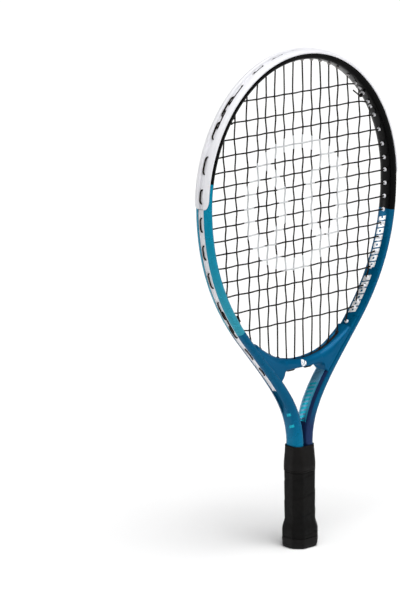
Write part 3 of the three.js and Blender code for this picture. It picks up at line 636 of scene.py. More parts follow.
def paint():
    """Metallic lacquer in black, teal and blue fields, with plain printed bars."""
    n = Nodes("racket_paint", Metallic=0.4, Specular_IOR_Level=0.05, Coat_Weight=0.05, Coat_Roughness=0.08)
    run, across, outward = (n.tag(name) for name in ("run", "across", "outward"))
    inner = n.math("LESS_THAN", outward, INNER_U)
    teals = n.mix(n.spread(run, 0.0, 1.0, *runs_between(TEAL_FADE_Z, -1)), TEAL_LOW_PAINT, TEAL_PAINT)
    blues = n.mix(n.spread(run, 0.0, 1.0, *runs_between(BLUE_FADE_Z, -1)), BLUE_LOW_PAINT, BLUE_PAINT)
    colour = n.mix(n.between(run, *runs_between(TEAL_Z, -1)), blues, teals)
    shaft = n.every(inner, n.math("GREATER_THAN", run, run_from_apex(RIGHT_SHAFT_Z, 1)))
    foot = n.math("GREATER_THAN", run, run_from_apex(NAVY_FOOT_Z, 1))
    steel = n.every(shaft, n.between(across, *STEEL_V))
    colour = n.mix(steel, colour, n.mix(foot, STEEL_BLUE_PAINT, NAVY_PAINT))
    navy = n.every(shaft, n.between(across, *NAVY_V))
    fade = n.spread(run, 0.0, 1.0, *runs_between(NAVY_FADE_Z, 1))
    front = n.every(fade, n.math("LESS_THAN", outward, NAVY_FRONT_U), n.math("LESS_THAN", across, 0.0))
    colour = n.mix(n.either(navy, front), colour, NAVY_PAINT)
    black_ends = run_from_apex(TEAL_Z[1], -1), run_from_apex(RIGHT_BLACK_Z, 1)
    colour = n.mix(n.between(run, *black_ends), colour, BLACK_PAINT)
    flakes = n.grey(n.spread(n.noise(2600, 1), 0.82, 1.18, 0.35, 0.65))
    colour = n.mix(1.0, colour, flakes, "MULTIPLY")
    colour = n.mix(1.0, colour, n.grey(n.spread(n.noise(9, 2), 0.97, 1.03)), "MULTIPLY")

    slant = n.math("ADD", run, n.math("MULTIPLY", across, MARK_SLANT))
    cell = n.math("FRACT", n.math("DIVIDE", slant, BLOCK_PITCH))
    words = n.either(*(n.between(slant, *runs_between(heights, 1)) for heights in BLOCKS_Z))
    white = n.every(inner, n.between(across, *BLOCKS_V), n.math("LESS_THAN", cell, BLOCK_FILL), words)
    notch = n.every(n.between(across, *NOTCH_V), n.between(cell, *NOTCH_FILL))
    white = n.math("MULTIPLY", white, n.math("SUBTRACT", 1.0, notch))
    colour = n.mix(white, colour, MARK_WHITE)

    tick = n.math("LESS_THAN", n.math("FRACT", n.math("DIVIDE", slant, TICK_PITCH)), TICK_FILL)
    ticks = n.math("MULTIPLY", tick, n.between(across, *TICKS_V))
    stretch = n.between(run, *runs_between(TICKS_Z, 1))
    teal = n.every(inner, stretch, n.either(n.between(across, *RULE_V), ticks))
    outer = n.every(n.math("GREATER_THAN", outward, DASHES_U), n.between(across, *DASHES_V))
    lean = n.math("ADD", run, n.math("MULTIPLY", across, DASH_SLANT))
    for z in DASHES_Z:
        dash = n.between(lean, *runs_between((z - DASH_HALF, z + DASH_HALF), -1))
        teal = n.either(teal, n.every(outer, dash))
    colour = n.mix(teal, colour, MARK_TEAL)
    roughness = n.spread(n.noise(60, 4), 0.2, 0.32)
    return n.finish(colour, roughness, n.noise(900, 2), 0.05, 0.00005)


def bridge_paint():
    """The same blue on the moulded bridge, with a small plain disc on its front."""
    n = Nodes("bridge_paint", Metallic=0.3, Specular_IOR_Level=0.05, Coat_Weight=0.05, Coat_Roughness=0.12)
    x, y, z = n.axes()
    colour = n.mix(n.spread(n.noise(14, 2), 0.0, 1.0), linear(0, 79, 117), linear(0, 88, 129))
    dx, dz = n.math("SUBTRACT", x, DISC_X), n.math("SUBTRACT", z, DISC_Z)
    disc = n.every(n.math("LESS_THAN", n.distance(dx, dz), DISC_R), n.math("LESS_THAN", y, 0.0))
    seams = ball_seam(n, dx, dz, *DISC_SEAM)
    disc = n.math("MULTIPLY", disc, n.math("SUBTRACT", 1.0, seams))
    colour = n.mix(disc, colour, MARK_WHITE)
    roughness = n.spread(n.noise(80, 3), 0.4, 0.54)
    return n.finish(colour, roughness, n.noise(1400, 2), 0.08, 0.0001)


def white_nylon():
    """Moulded white nylon, a little grey in its scuffs, with painted shade in brown-grey on the grommet
    barrels near the tip of the head.
    """
    n = Nodes("white_nylon", Specular_IOR_Level=0.3)
    x, y, z = n.axes()
    scuffs = n.spread(n.noise(220, 5, (1, 4, 1)), 0.0, 0.22, 0.55, 0.75)
    colour = n.mix(scuffs, linear(224, 224, 228), linear(170, 170, 174))
    inside = n.math("LESS_THAN", n.tag("outward"), -4.5)
    # painted shade: the grommet barrels darken to brown-grey towards the tip of the head, more with height
    apex_grommet_shade = n.math("MULTIPLY", inside, n.spread(z, 0.0, 0.72, 470.0, 505.0))
    colour = n.mix(apex_grommet_shade, colour, linear(96, 86, 76))
    roughness = n.spread(n.noise(160, 4), 0.32, 0.5)
    return n.finish(colour, roughness, n.noise(700, 4), 0.12, 0.0002)


def plain_plastic(name, light, dark, rough, grain=1200.0, bump=0.15):
    n = Nodes(name, Specular_IOR_Level=0.12)
    colour = n.mix(n.spread(n.noise(90, 4), 0.0, 1.0), dark, light)
    roughness = n.spread(n.noise(200, 4), rough - 0.08, rough + 0.08)
    return n.finish(colour, roughness, n.noise(grain, 3), bump, 0.0002)


def string_nylon():
    """Dark monofilament, with a plain ball outline stencilled in worn pale ink."""
    n = Nodes("string_nylon", Specular_IOR_Level=0.12)
    x, y, z = n.axes()
    dx, dz = n.math("SUBTRACT", x, BALL_X), n.math("SUBTRACT", z, BALL_Z)
    radius = n.distance(dx, dz)
    seams = n.every(ball_seam(n, dx, dz, *BALL_SEAM), n.math("LESS_THAN", radius, BALL_SEAM_R))
    worn = n.spread(n.noise(800, 3), 0.72, 1.0, 0.3, 0.45)
    ink = n.every(n.either(n.between(radius, *BALL_RING), seams), worn)
    bare = n.mix(n.spread(n.noise(300, 2), 0.0, 1.0), linear(16, 12, 9), linear(28, 21, 17))
    colour = n.mix(ink, bare, linear(198, 200, 202))
    return n.finish(colour, n.spread(n.noise(500, 2), 0.3, 0.5), n.noise(2500, 2), 0.1, 0.00005)


def grip_tape_skin():
    """Matte cushioned tape with a fine leather-like grain and faint brown cast."""
    n = Nodes("grip_tape_skin", Specular_IOR_Level=0.12)
    cells = n.tree.nodes.new("ShaderNodeTexVoronoi")
    cells.inputs["Scale"].default_value = 900
    n.tree.links.new(n.coords, cells.inputs["Vector"])
    grain = n.math("ADD", cells.outputs["Distance"], n.noise(1500, 3))
    colour = n.mix(n.spread(n.noise(40, 4), 0.0, 1.0), linear(3, 3, 3), linear(11, 9, 8))
    roughness = n.spread(n.noise(300, 3), 0.5, 0.68)
    return n.finish(colour, roughness, grain, 0.35, 0.0003)


def brushed_steel():
    n = Nodes("zinc_steel", Metallic=1.0)
    colour = n.mix(n.spread(n.noise(300, 3), 0.0, 1.0), linear(150, 152, 156), linear(206, 208, 212))
    return n.finish(colour, n.spread(n.noise(900, 2, (1, 1, 12)), 0.25, 0.45), n.noise(1500, 2), 0.1)


# ======== frame tube ========
def surface_u(v, a=TUBE_U, b=TUBE_V):
    return a * (1 - abs(v / b) ** ROUNDNESS) ** (1 / ROUNDNESS)


GROOVE_PROFILE = ((4.2, 0), (4.12, 0.5), (3.95, 0.94), (3.7, 1), (1.8, 1), (0, 1))
TUBE_ARC = 42


def tube_section(s, z):
    edge = math.asin((GROOVE_V / TUBE_V) ** (ROUNDNESS / 2))
    step = (2 * math.pi - 2 * edge) / TUBE_ARC
    points = [superellipse(TUBE_U, TUBE_V, edge + step * i) for i in range(TUBE_ARC + 1)]
    open_groove = smoothstep(z, *GROOVE_FADE_Z)
    for v, depth in [(-v, d) for v, d in GROOVE_PROFILE[1:]] + list(GROOVE_PROFILE[-2:0:-1]):
        points.append((lerp(surface_u(v), GROOVE_U, depth * open_groove), v))
    swell = swell_at(z)
    return [(u * swell, v) for u, v in points]


def frame_tube(material):
    shape = Shape()
    swept(shape, spaced(0.5, LENGTH - 0.5, 3.5), tube_section)
    return shape.make("frame_tube_painted", material, 50)


# ======== grommets ========
GROMMET_PROFILE = (
    (1.0, -6.4), (1.4, -6.55), (1.8, -6.2), (2.0, -5.5), (2.25, -4.9), (2.25, -4.4), (2.1, -4.2),
    (2.1, 3.4), (1.9, 3.62), (1.2, 3.62), (1.0, 3.4),
)


def add_grommets(shape, low, high):
    """One flanged barrel in each hole of the tube between two runs."""
    for hole in HOLES:
        if not low < hole.s < high:
            continue
        centre, _, out = frame_at(hole.s)
        origin = Vector((centre.x, 0, centre.y))
        axis = Vector((out.x, 0, out.y))
        lift = on_floor(0, centre.y)
        buried = hole.reach > TUBE_U + COLLAR_RISE + 0.1
        profile = [(r, h + lift if h > 0 else h) for r, h in GROMMET_PROFILE]
        if buried:
            profile = [(r, max(h, -4.4)) for r, h in profile]
        shape.lathe(profile, origin, axis, tag=(hole.s - APEX, 0.0, -6.0))


STRIP_HALF = (
    (2.75, 0), (2.75, 3.6), (2.95, 3.85), (4.2, 3.9), (4.42, 3.75), (4.42, 3.2), (4.25, 3.02),
    (3.62, 2.98), (3.5, 2.8), (3.5, 0.0),
)


def mirrored(half):
    """A closed section from its v >= 0 half, whose first and last points lie on the middle."""
    return list(half) + [(u, -v) for u, v in half[-2:0:-1]]


def strip_section(s, z):
    return [(on_floor(u, z), v) for u, v in mirrored(STRIP_HALF)]


def grommet_strip(name, low, high, material):
    shape = Shape()
    swept(shape, spaced(low, high, 4), strip_section)
    add_grommets(shape, low, high)
    return shape.make(name, material, 30)


# ======== bumper ========
def angle_of(u, a):
    return math.acos(min(1, max(0, u / a)) ** (ROUNDNESS / 2))


def bumper_section(s, z):
    """A thin shell over the outer half of the tube, open down its middle for the strings."""
    inner_u, inner_v = TUBE_U + BUMPER_CLEAR, TUBE_V + BUMPER_CLEAR
    outer_u, outer_v = TUBE_U + BUMPER_GROW, TUBE_V + BUMPER_GROW
    apart = min(1, abs(s - APEX) / BUMPER_LIP_SPAN)
    lip = angle_of(lerp(BUMPER_LIP_U[1], BUMPER_LIP_U[0], smoothstep(apart, 0, 1)), outer_u)
    rim = math.asin((BUMPER_CHANNEL_V / outer_v) ** (ROUNDNESS / 2))
    from_end = min(1, (APEX - BUMPER_RUN - abs(s - APEX)) / BUMPER_TAPER)
    closing = math.sqrt(max(0, 1 - (1 - from_end) ** 2))
    lip = lerp(rim + 0.03, lip, closing)
    rise = 0.35 + 0.65 * closing
    shell = []
    for i in range(13):
        t = i / 12
        grow = 1 - 0.75 * (1 - t) ** 6  # the lip thins to a soft edge
        grow -= 0.14 * math.exp(-((t - 0.42) / 0.05) ** 2)  # a fine moulded line along each flank
        inside = superellipse(inner_u, inner_v, lerp(lip, rim, t))
        outside = superellipse(outer_u, outer_v, lerp(lip, rim, t))
        shell.append((lerp(inside[0], outside[0], grow * rise), lerp(inside[1], outside[1], grow * rise)))
    top = lerp(inner_u, outer_u + 0.12, rise)
    channel = [(top - 0.15, 4.6), (top - 0.6, 3.9), (top - 1.1, 3.35), (4.3, 2.98), (3.5, 2.8), (3.5, 0)]
    under = [(2.75, 0), (2.75, 3.6), (2.95, 3.85), (TUBE_U, 3.9)]
    lining = [superellipse(inner_u, inner_v, lerp(rim, lip, i / 6)) for i in range(7)]
    return mirrored([*under, *lining, *shell, *channel])


BUMPER_RUN = run_at_height(BUMPER_END_Z)


def bumper_guard(material):
    low, high = BUMPER_RUN, LENGTH - BUMPER_RUN
    runs = sorted({*spaced(low + BUMPER_TAPER, high - BUMPER_TAPER, 3.5),
                   *spaced(low, low + BUMPER_TAPER, 0.9), *spaced(high - BUMPER_TAPER, high, 0.9)})
    shape = Shape()
    swept(shape, runs, bumper_section)
    add_grommets(shape, low, high)
    return shape.make("bumper_guard_moulded", material, 32)


# ======== throat bridge ========
def bridge_outline():
    """The lower outline of the bridge on the right, from its tip to the middle, as (x, z) points."""
    def cheek(s):
        p = beside(s, -TUBE_U * swell_at(point_at(s).y) + 3.2)
        return Vector((-p.x, p.z))
    tip = bisect(lambda s: -beside(s, -TUBE_U).x - BRIDGE_TIP_X, THROAT_RUN, WIDEST_RUN)
    foot_run = bisect(lambda s: beside(s, -TUBE_U * 1.2).z - BRIDGE_FOOT_Z, THROAT_RUN, WIDEST_RUN)
    side = [cheek(s) for s in spaced(tip, foot_run, 4)]
    inner = beside(foot_run, -TUBE_U * swell_at(BRIDGE_FOOT_Z) - 0.8)
    foot = Vector((-inner.x, BRIDGE_FOOT_Z))
    control = (foot, Vector((foot.x - 0.4, BRIDGE_UNDER_Z - BRIDGE_CORNER / 2)),
               Vector((BRIDGE_UNDER_X + BRIDGE_CORNER, BRIDGE_UNDER_Z)),
               Vector((BRIDGE_UNDER_X, BRIDGE_UNDER_Z)))
    under = [*bezier(control, 12), control[3]]
    flat = [Vector((x, BRIDGE_UNDER_Z)) for x in spaced(BRIDGE_UNDER_X, 0, 3)[1:]]
    return side, under, flat


def bridge_section(thick, crown, round_top, round_foot, slot):
    """A section across the bridge: (depth below the arc, y). It is a rounded bar with a slot on top."""
    half = thick / 2 + crown / 2
    top, foot = min(round_top, half), min(round_foot, half)
    upper = []
    for i in range(11):
        angle = math.pi / 2 * i / 10
        part = math.cos(angle)
        upper.append((-crown + top * (1 - part), BRIDGE_HALF_DEPTH * math.sin(angle)))
    lower = []
    for i in range(9):
        angle = math.pi / 2 * (1 - i / 8)
        part = (1 - math.sin(angle) ** 2.2) ** (1 / 2.2)
        lower.append((thick - foot * (1 - part), BRIDGE_HALF_DEPTH * math.sin(angle)))
    sunk = [(depth + slot, y) if abs(y) < BRIDGE_STRIP_V else (depth, y) for depth, y in upper]
    wall = BRIDGE_STRIP_V + 0.25
    edge = next(i for i, (_, y) in enumerate(upper) if y > wall)
    sunk = sunk[:edge] + [(upper[edge][0] + slot, wall - 0.02), (upper[edge][0] - 0.05, wall)] + sunk[edge:]
    half_ring = sunk + lower
    return half_ring + [(depth, -y) for depth, y in half_ring[-2:0:-1]]


def throat_bridge(material):
    side, under, flat = bridge_outline()
    right = side + under + flat
    outline = right + [Vector((-p.x, p.y)) for p in right[-2::-1]]
    cheek = set(range(len(side))) | set(range(len(outline) - len(side), len(outline)))
    shape = Shape()
    rings = []
    for i, p in enumerate(outline):
        ray = Vector((p.x, BRIDGE_CENTRE_Z - p.y))
        angle = math.atan2(ray.x, ray.y)
        thick = max(0.6, ray.length - BRIDGE_ARC_R)
        near_tip = smoothstep(abs(p.x), BRIDGE_TIP_X - 9, BRIDGE_TIP_X - 1)
        crown = lerp(BRIDGE_CROWN, BRIDGE_TIP_CROWN, near_tip)
        slot = BRIDGE_SLOT * (1 - smoothstep(abs(p.x), BRIDGE_STRIP_X - 1, BRIDGE_STRIP_X + 1))
        foot = 0.4 if i in cheek else BRIDGE_FOOT_ROUND
        section = bridge_section(thick, crown, BRIDGE_TOP_ROUND, foot, slot)
        rings.append([Vector(((BRIDGE_ARC_R + d) * math.sin(angle), y,
                              BRIDGE_CENTRE_Z - (BRIDGE_ARC_R + d) * math.cos(angle)))
                      for d, y in section])
    shape.loft(rings)
    return shape.make("throat_bridge_moulded", material, 40)


def bridge_mouths():
    """Where each string that meets the bridge enters it, and the direction in."""
    found = []
    for k, main in enumerate(MAINS):
        if side_index(k) >= BRIDGE_MAINS:
            continue
        foot = main_holes(k)[1]
        if foot is None:
            x = x_at_bridge(main)
            found.append((Vector((x, 0, bridge_arc_z(x))), Vector((0, 0, -1))))
        else:
            into = beside(foot.s, 0) - mouth(foot)
            found.append((mouth(foot), into.normalized()))
    return found


def bridge_grommet_strip(material):
    shape = Shape()
    reach = math.asin(BRIDGE_STRIP_X / BRIDGE_ARC_R)
    rings = []
    for angle in spaced(-reach, reach, 0.03):
        ring = []
        for d, y in ((-1.0, 0), (-1.0, 1.8), (-0.9, 2.6), (-0.5, 2.85), (-0.1, 2.85), (-0.1, 0),
                     (-0.1, -2.85), (-0.5, -2.85), (-0.9, -2.6), (-1.0, -1.8)):
            radius = BRIDGE_ARC_R + d
            ring.append(Vector((radius * math.sin(angle), y, BRIDGE_CENTRE_Z - radius * math.cos(angle))))
        rings.append(ring)
    shape.loft(rings)
    profile = ((1.0, -1.5), (1.4, -1.7), (1.8, -1.5), (2.0, -0.8), (2.0, 1.0), (1.0, 1.0))
    for at, into in bridge_mouths():
        shape.lathe(profile, at, into, 16)
    profile = ((1.0, -1.0), (1.9, -1.0), (1.9, 3.6), (1.6, 3.9), (1.0, 3.9))
    for main in MAINS[HALF - STRAIGHT_MAINS:HALF + STRAIGHT_MAINS]:
        shape.lathe(profile, Vector((x_at_bridge(main), 0, BRIDGE_UNDER_Z + 3.2)), Vector((0, 0, -1)), 16)
    return shape.make("bridge_grommet_strip_moulded", material, 35)


# ======== strings ========
def along_groove(a, b, v):
    runs = spaced(a.s + LOOP_TURN, b.s - LOOP_TURN, 4) if b.s - a.s > 2 * LOOP_TURN else [(a.s + b.s) / 2]
    return [beside(s, on_floor(LOOP_U, point_at(s).y), v) for s in runs]


def through(hole):
    return [beside(hole.s, -hole.reach - 0.2), beside(hole.s, on_floor(LOOP_U, point_at(hole.s).y))]


def outside_loop(a, b, v):
    if a.s > b.s:
        return outside_loop(b, a, v)[::-1]
    return [*through(a), *along_groove(a, b, v), *through(b)[::-1]]


def under_bridge(a, b):
    """The loop of string below the bridge, from the main at x = a to the one at x = b."""
    z = BRIDGE_UNDER_Z - 1.1 - STRING_R
    inset = math.copysign(1.2, b - a)
    return [
        Vector((a, 0, bridge_arc_z(a) + 2.5)), Vector((a, 0, z + 1.4)), Vector((a + inset, 0, z)),
        Vector((b - inset, 0, z)), Vector((b, 0, z + 1.4)), Vector((b, 0, bridge_arc_z(b) + 2.5)),
    ]


def crossings():
    """Every (main, cross) pair that meets inside the head, as {(k, j): (x, z, weave)}."""
    found = {}
    for k, main in enumerate(MAINS):
        top, foot = main_holes(k)
        high = mouth(top).z - 1.2
        low = (bridge_arc_z(x_at_bridge(main)) if foot is None else mouth(foot).z) + 1.2
        for j, z in enumerate(CROSSES):
            x = main_x(main, z)
            if low < z < high and abs(x) < abs(mouth(cross_hole(j, 1)).x) - 1.2:
                found[k, j] = (x, z, WEAVE if (j + k) % 2 else -WEAVE)
    return found


MEETINGS = crossings()


def knot(hole, tail):
    """A wound knot on the inner side of a hole, ending in a short tail."""
    start = beside(hole.s, -hole.reach - 0.2)
    _, along, out = frame_at(hole.s)
    inward, first, second = Vector((-out.x, 0, -out.y)), Vector((along.x, 0, along.y)), Vector((0, 1, 0))
    turns = []
    for i in range(31):
        angle = 2 * math.pi * KNOT_TURNS * i / 30
        spoke = first * math.cos(angle) + second * math.sin(angle)
        turns.append(start + inward * (0.7 + KNOT_RISE * i / 30) + spoke * KNOT_R)
    end = start + inward * 2.4 + Vector(tail)
    return [start + inward * 0.4, *turns, turns[-1].lerp(end, 0.5) + Vector((0, 0.3, 0)), end]


def bed_run(ends, pairs, side):
    """One run of string across the bed, woven through these pairs, on one side of the other string."""
    middle = []
    for pair in pairs:
        if pair in MEETINGS:
            x, z, weave = MEETINGS[pair]
            middle.append(Vector((x, side * weave, z)))
    return catmull([ends[0], *middle, ends[1]], 4)[1:-1]


def main_string(material):
    path = knot(LEFT["mainTop"], (3.2, 0.8, -1.8))[::-1]
    path += outside_loop(LEFT["mainTop"], main_holes(0)[0], -LOOP_V)
    for k, main in enumerate(MAINS):
        top, foot = main_holes(k)
        bridge_x = x_at_bridge(main)
        end = Vector((bridge_x, 0, bridge_arc_z(bridge_x) + 2.5)) if foot is None else mouth(foot)
        run = bed_run((mouth(top), end), [(k, j) for j in range(len(CROSSES))], 1)
        path += run if k % 2 == 0 else run[::-1]
        if k == len(MAINS) - 1:
            break
        if k % 2:
            path += outside_loop(top, main_holes(k + 1)[0], -LOOP_V)
        elif foot is None:
            path += under_bridge(bridge_x, x_at_bridge(MAINS[k + 1]))
        else:
            path += outside_loop(foot, main_holes(k + 1)[1], -LOOP_V)
    path += outside_loop(main_holes(len(MAINS) - 1)[0], RIGHT["mainTop"], -LOOP_V)
    path += knot(RIGHT["mainTop"], (-11.5, -0.8, 7))
    shape = Shape()
    shape.tube(filleted(path, CORNER_CUT), STRING_R)
    return shape.make("main_string_woven", material, 60)


def cross_string(material):
    path = knot(LEFT["crossTop"], (3, 0.8, -2.4))[::-1]
    path += outside_loop(LEFT["crossTop"], cross_hole(0, -1), LOOP_V)
    for j in range(len(CROSSES)):
        ends = mouth(cross_hole(j, -1)), mouth(cross_hole(j, 1))
        run = bed_run(ends, [(k, j) for k in range(len(MAINS))], -1)
        path += run if j % 2 == 0 else run[::-1]
        if j < len(CROSSES) - 1:
            side = 1 if j % 2 == 0 else -1
            path += outside_loop(cross_hole(j, side), cross_hole(j + 1, side), LOOP_V)
    path += outside_loop(cross_hole(len(CROSSES) - 1, -1), LEFT["crossFoot"], LOOP_V)
    path += knot(LEFT["crossFoot"], (3, -0.8, -5))
    shape = Shape()
    shape.tube(filleted(path, CORNER_CUT), STRING_R)
    return shape.make("cross_string_woven", material, 60)


# ======== handle ========
def octagon_ring(size, z, corner=CORNER_R, push=None):
    """A rounded octagon at height z. push(angle) moves its points outwards."""
    x, y, c = size
    corners = [Vector(p) for p in ((x, y - c), (x - c, y), (c - x, y), (-x, y - c),
                                   (-x, c - y), (c - x, -y), (x - c, -y), (x, c - y))]
    ring = []
    for i, p in enumerate(corners):
        before = (corners[i - 1] - p).normalized() * corner
        after = (corners[(i + 1) % 8] - p).normalized() * corner
        ring += rounded(p + before, p, p + after)
        far = corners[(i + 1) % 8] - after.normalized() * corner
        ring += [(p + after).lerp(far, t) for t in (0.25, 0.5, 0.75)]
    made = []
    for p in ring:
        out = push(math.atan2(p.y, p.x)) if push else 0
        p = p + p.normalized() * out
        made.append(Vector((p.x, p.y, z)))
    return made


def grown(size, by):
    """The octagon whose faces lie this much further out."""
    return size[0] + by, size[1] + by, size[2] + by * (2 - math.sqrt(2))


def flare_at(z):
    return FLARE * (1 - smoothstep(z, *FLARE_Z))


def grip_tape(material):
    """The wrapped tape: each turn lies a little over the last, which shows as a slanting seam."""
    def push(z):
        def at(angle):
            turn = (z / WRAP_PITCH - angle / (2 * math.pi)) % 1
            seam = math.exp(-(min(turn, 1 - turn) * WRAP_PITCH / WRAP_SEAM[0]) ** 2)
            return WRAP_RISE * (turn - 0.75) - WRAP_SEAM[1] * seam
        return at
    bottom, top = CAP_RIM_Z + 0.35, GRIP_TOP_Z
    rings = [octagon_ring(grown(GRIP, flare_at(bottom) - 1.5), bottom),
             octagon_ring(grown(GRIP, flare_at(bottom) - 0.35), bottom + 0.02)]
    for z in spaced(bottom + 0.4, top - 0.4, 0.75):
        rings.append(octagon_ring(grown(GRIP, flare_at(z)), z, push=push(z)))
    rings += [octagon_ring(grown(GRIP, -0.45), top), octagon_ring(grown(GRIP, -1.5), top + 0.02)]
    shape = Shape()
    shape.loft(rings)
    return shape.make("grip_tape_wrapped", material, 50)


def butt_cap(material):
    bare = grown(GRIP, FLARE)
    levels = [(-9.5, 0.9), (-9.3, 0.9), (-9.1, 0.3), (-8.9, 0.02), (-2.6, 0.0), (-1.9, 0.12), (-1.15, 0.7),
              (-0.6, 1.7), (-0.2, 3.0), (0, 4.6), (0, CAP_RIM_Z - 0.7), (-0.1, CAP_RIM_Z - 0.2),
              (-0.5, CAP_RIM_Z), (-2.2, CAP_RIM_Z + 0.01)]
    shape = Shape()
    shape.loft([octagon_ring(grown(bare, grow), z, 1.5) for grow, z in levels])
    return shape.make("butt_cap_moulded", material, 40)


def grip_collar(material):
    foot, shoulder, top = COLLAR_Z
    lower = grown(GRIP, 0.35)
    levels = [(grown(lower, -0.9), foot + 0.3), (grown(lower, -0.3), foot), (lower, foot + 0.6),
              (lower, foot + 1.6), (grown(lower, -0.22), foot + 1.9), (grown(lower, -0.22), foot + 2.3),
              (lower, foot + 2.6), (lower, shoulder - 1)]
    for t in (0, 0.12, 0.3, 0.5, 0.7, 0.88, 1):
        size = [lerp(a, b, smoothstep(t, -0.15, 1.15)) for a, b in zip(lower, grown(COLLAR_TOP, 0.1))]
        levels.append((size, lerp(shoulder, top - 2.6, t)))
    lip = grown(COLLAR_TOP, 0.15)
    levels += [(grown(lip, -0.1), top - 2.2), (lip, top - 1.7), (lip, top - 0.5),
               (grown(lip, -0.3), top - 0.1), (grown(lip, -0.65), top), (grown(lip, -0.9), top - 0.25),
               (grown(lip, -1), top - 8)]
    shape = Shape()
    shape.loft([octagon_ring(size, z, 2.2) for size, z in levels])
    return shape.make("grip_collar_moulded", material, 40)


def collar_badge(material):
    """A plain raised oval on the left side of the collar."""
    shape = Shape()
    path = []
    for i in range(33):
        angle = 2 * math.pi * i / 32
        y, rise = BADGE_HALF[0] * math.cos(angle), BADGE_HALF[1] * math.sin(angle)
        path.append(Vector((BADGE_AT[0] + BADGE_SLOPE * rise, y, BADGE_AT[1] + rise)))
    rings = []
    for i, p in enumerate(path[:-1]):
        tangent = (path[(i + 1) % 32] - path[i - 1]).normalized()
        side = tangent.cross(Vector((1, 0, 0))).normalized()
        rings.append([p + side * (0.45 * math.cos(a)) - Vector((0.3 * math.sin(a), 0, 0))
                      for a in (2 * math.pi * k / 8 for k in range(8))])
    shape.loft(rings, closed=True)
    return shape.make("collar_oval_badge", material, 60)


# ======== stage ========
def add_camera():
    data = bpy.data.cameras.new("camera")
    data.lens = CAMERA_LENS
    data.clip_end = 60
    camera = bpy.data.objects.new("camera", data)
    pan, tilt, roll = (Matrix.Rotation(math.radians(angle), 4, axis)
                       for angle, axis in zip(CAMERA_TURN, "ZXZ"))
    camera.matrix_world = Matrix.Translation(CAMERA_AT) @ (pan @ tilt @ roll)
    bpy.context.scene.collection.objects.link(camera)
    bpy.context.scene.camera = camera


def add_light(name, place_at, size, power, target=(0, 0, 0.28), colour=(1, 1, 1)):
    data = bpy.data.lights.new(name, "AREA")
    data.shape = "RECTANGLE"
    data.size, data.size_y = size
    data.energy = power
    data.color = colour
    light = bpy.data.objects.new(name, data)
    light.location = place_at
    light.rotation_euler = (Vector(target) - Vector(place_at)).to_track_quat("-Z", "Y").to_euler()
    bpy.context.scene.collection.objects.link(light)


def add_stage():
    world = bpy.data.worlds.new("world")
    world.use_nodes = True
    tree = world.node_tree
    coords, split, wall = (tree.nodes.new(f"ShaderNode{kind}")
                           for kind in ("TexCoord", "SeparateXYZ", "MapRange"))
    for key, number in (("From Min", 0.1), ("From Max", 0.22), ("To Min", 1.0), ("To Max", 0.02)):
        wall.inputs[key].default_value = number
    tree.links.new(coords.outputs["Generated"], split.inputs[0])
    tree.links.new(split.outputs["Z"], wall.inputs["Value"])
    tree.links.new(wall.outputs[0], tree.nodes["Background"].inputs["Strength"])
    tree.nodes["Background"].inputs["Color"].default_value = (1, 1, 1, 1)
    bpy.context.scene.world = world
    n = Nodes("floor_pale")
    n.finish(n.mix(n.spread(n.noise(3, 2), 0.0, 1.0), (0.86, 0.86, 0.86, 1), (0.88, 0.88, 0.88, 1)), 0.9)
    mesh = bpy.data.meshes.new("floor")
    mesh.from_pydata([(-30, -30, 0), (30, -30, 0), (30, 30, 0), (-30, 30, 0)], [], [(0, 1, 2, 3)])
    mesh.materials.append(n.material)
    floor = bpy.data.objects.new("floor", mesh)
    floor.location.z = -0.0005
    bpy.context.scene.collection.objects.link(floor)
    data = bpy.data.lights.new("overhead", "SUN")
    data.energy, data.angle = 4.0, math.radians(50)
    overhead = bpy.data.objects.new("overhead", data)
    overhead.rotation_euler = Vector((0.05, 0.3, -1)).to_track_quat("-Z", "Y").to_euler()
    bpy.context.scene.collection.objects.link(overhead)
    add_light("left_strip", (-2.6, 2.8, 0.9), (0.5, 1.6), 12)
    add_light("right_strip", (2.6, -2.8, 0.9), (0.4, 1.6), 5)


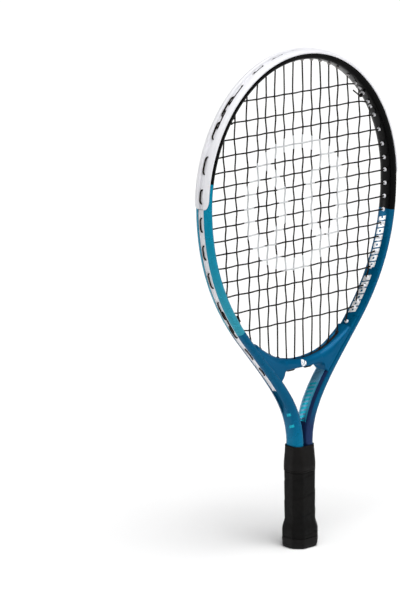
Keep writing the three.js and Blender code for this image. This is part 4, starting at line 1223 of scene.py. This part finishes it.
# ======== the racket ========
def dress_kept_nodes(materials):
    """CAD nodes whose shape is right stay, with a material of their own."""
    for name, material in materials.items():
        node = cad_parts[name]
        node.data.materials.clear()
        node.data.materials.append(material)


def build():
    white = white_nylon()
    black = plain_plastic("black_nylon", linear(38, 37, 38), linear(22, 21, 22), 0.45)
    cap = plain_plastic("butt_plastic", linear(17, 15, 15), linear(9, 8, 8), 0.5, 900.0, 0.3)
    rubber = plain_plastic("collar_rubber", linear(18, 16, 15), linear(10, 9, 9), 0.55, 1500.0, 0.25)
    badge = plain_plastic("badge_rubber", linear(58, 54, 52), linear(40, 37, 36), 0.4)
    foam = plain_plastic("pallet_foam", linear(70, 70, 74), linear(50, 50, 54), 0.8)
    vinyl = plain_plastic("vinyl_tape", linear(34, 34, 36), linear(22, 22, 24), 0.4)
    steel = brushed_steel()
    string = string_nylon()
    strip_low = run_at_height(STRIP_END_Z)
    strip_high = BUMPER_RUN - STRIP_GAP

    place(frame_tube(paint()), "frame_paint", "frame_tube")
    place(bumper_guard(white), "white_nylon", "bumper_guard")
    place(grommet_strip("grommet_strip_left_moulded", strip_low, strip_high, white),
          "white_nylon", "grommet_strip_left")
    place(grommet_strip("grommet_strip_right_moulded", LENGTH - strip_high, LENGTH - strip_low, white),
          "white_nylon", "grommet_strip_right")
    place(throat_bridge(bridge_paint()), "bridge_plastic", "throat_bridge")
    place(bridge_grommet_strip(black), "black_nylon", "bridge_grommet_strip")
    place(main_string(string), "string", "main_string")
    place(cross_string(string), "string", "cross_string")
    place(grip_tape(grip_tape_skin()), "grip", "grip_tape")
    place(butt_cap(cap), "black_nylon", "butt_cap")
    place(grip_collar(rubber), "collar", "grip_collar")
    place(collar_badge(badge), "collar")
    dress_kept_nodes({
        "bridge_rivet_left": steel, "bridge_rivet_right": steel, "butt_staple_front": steel,
        "butt_staple_back": steel, "grip_staple": steel, "pallet_front": foam, "pallet_back": foam,
        "finishing_tape": vinyl,
    })


add_camera()
add_stage()
build()
bpy.context.scene.view_settings.view_transform = "Standard"
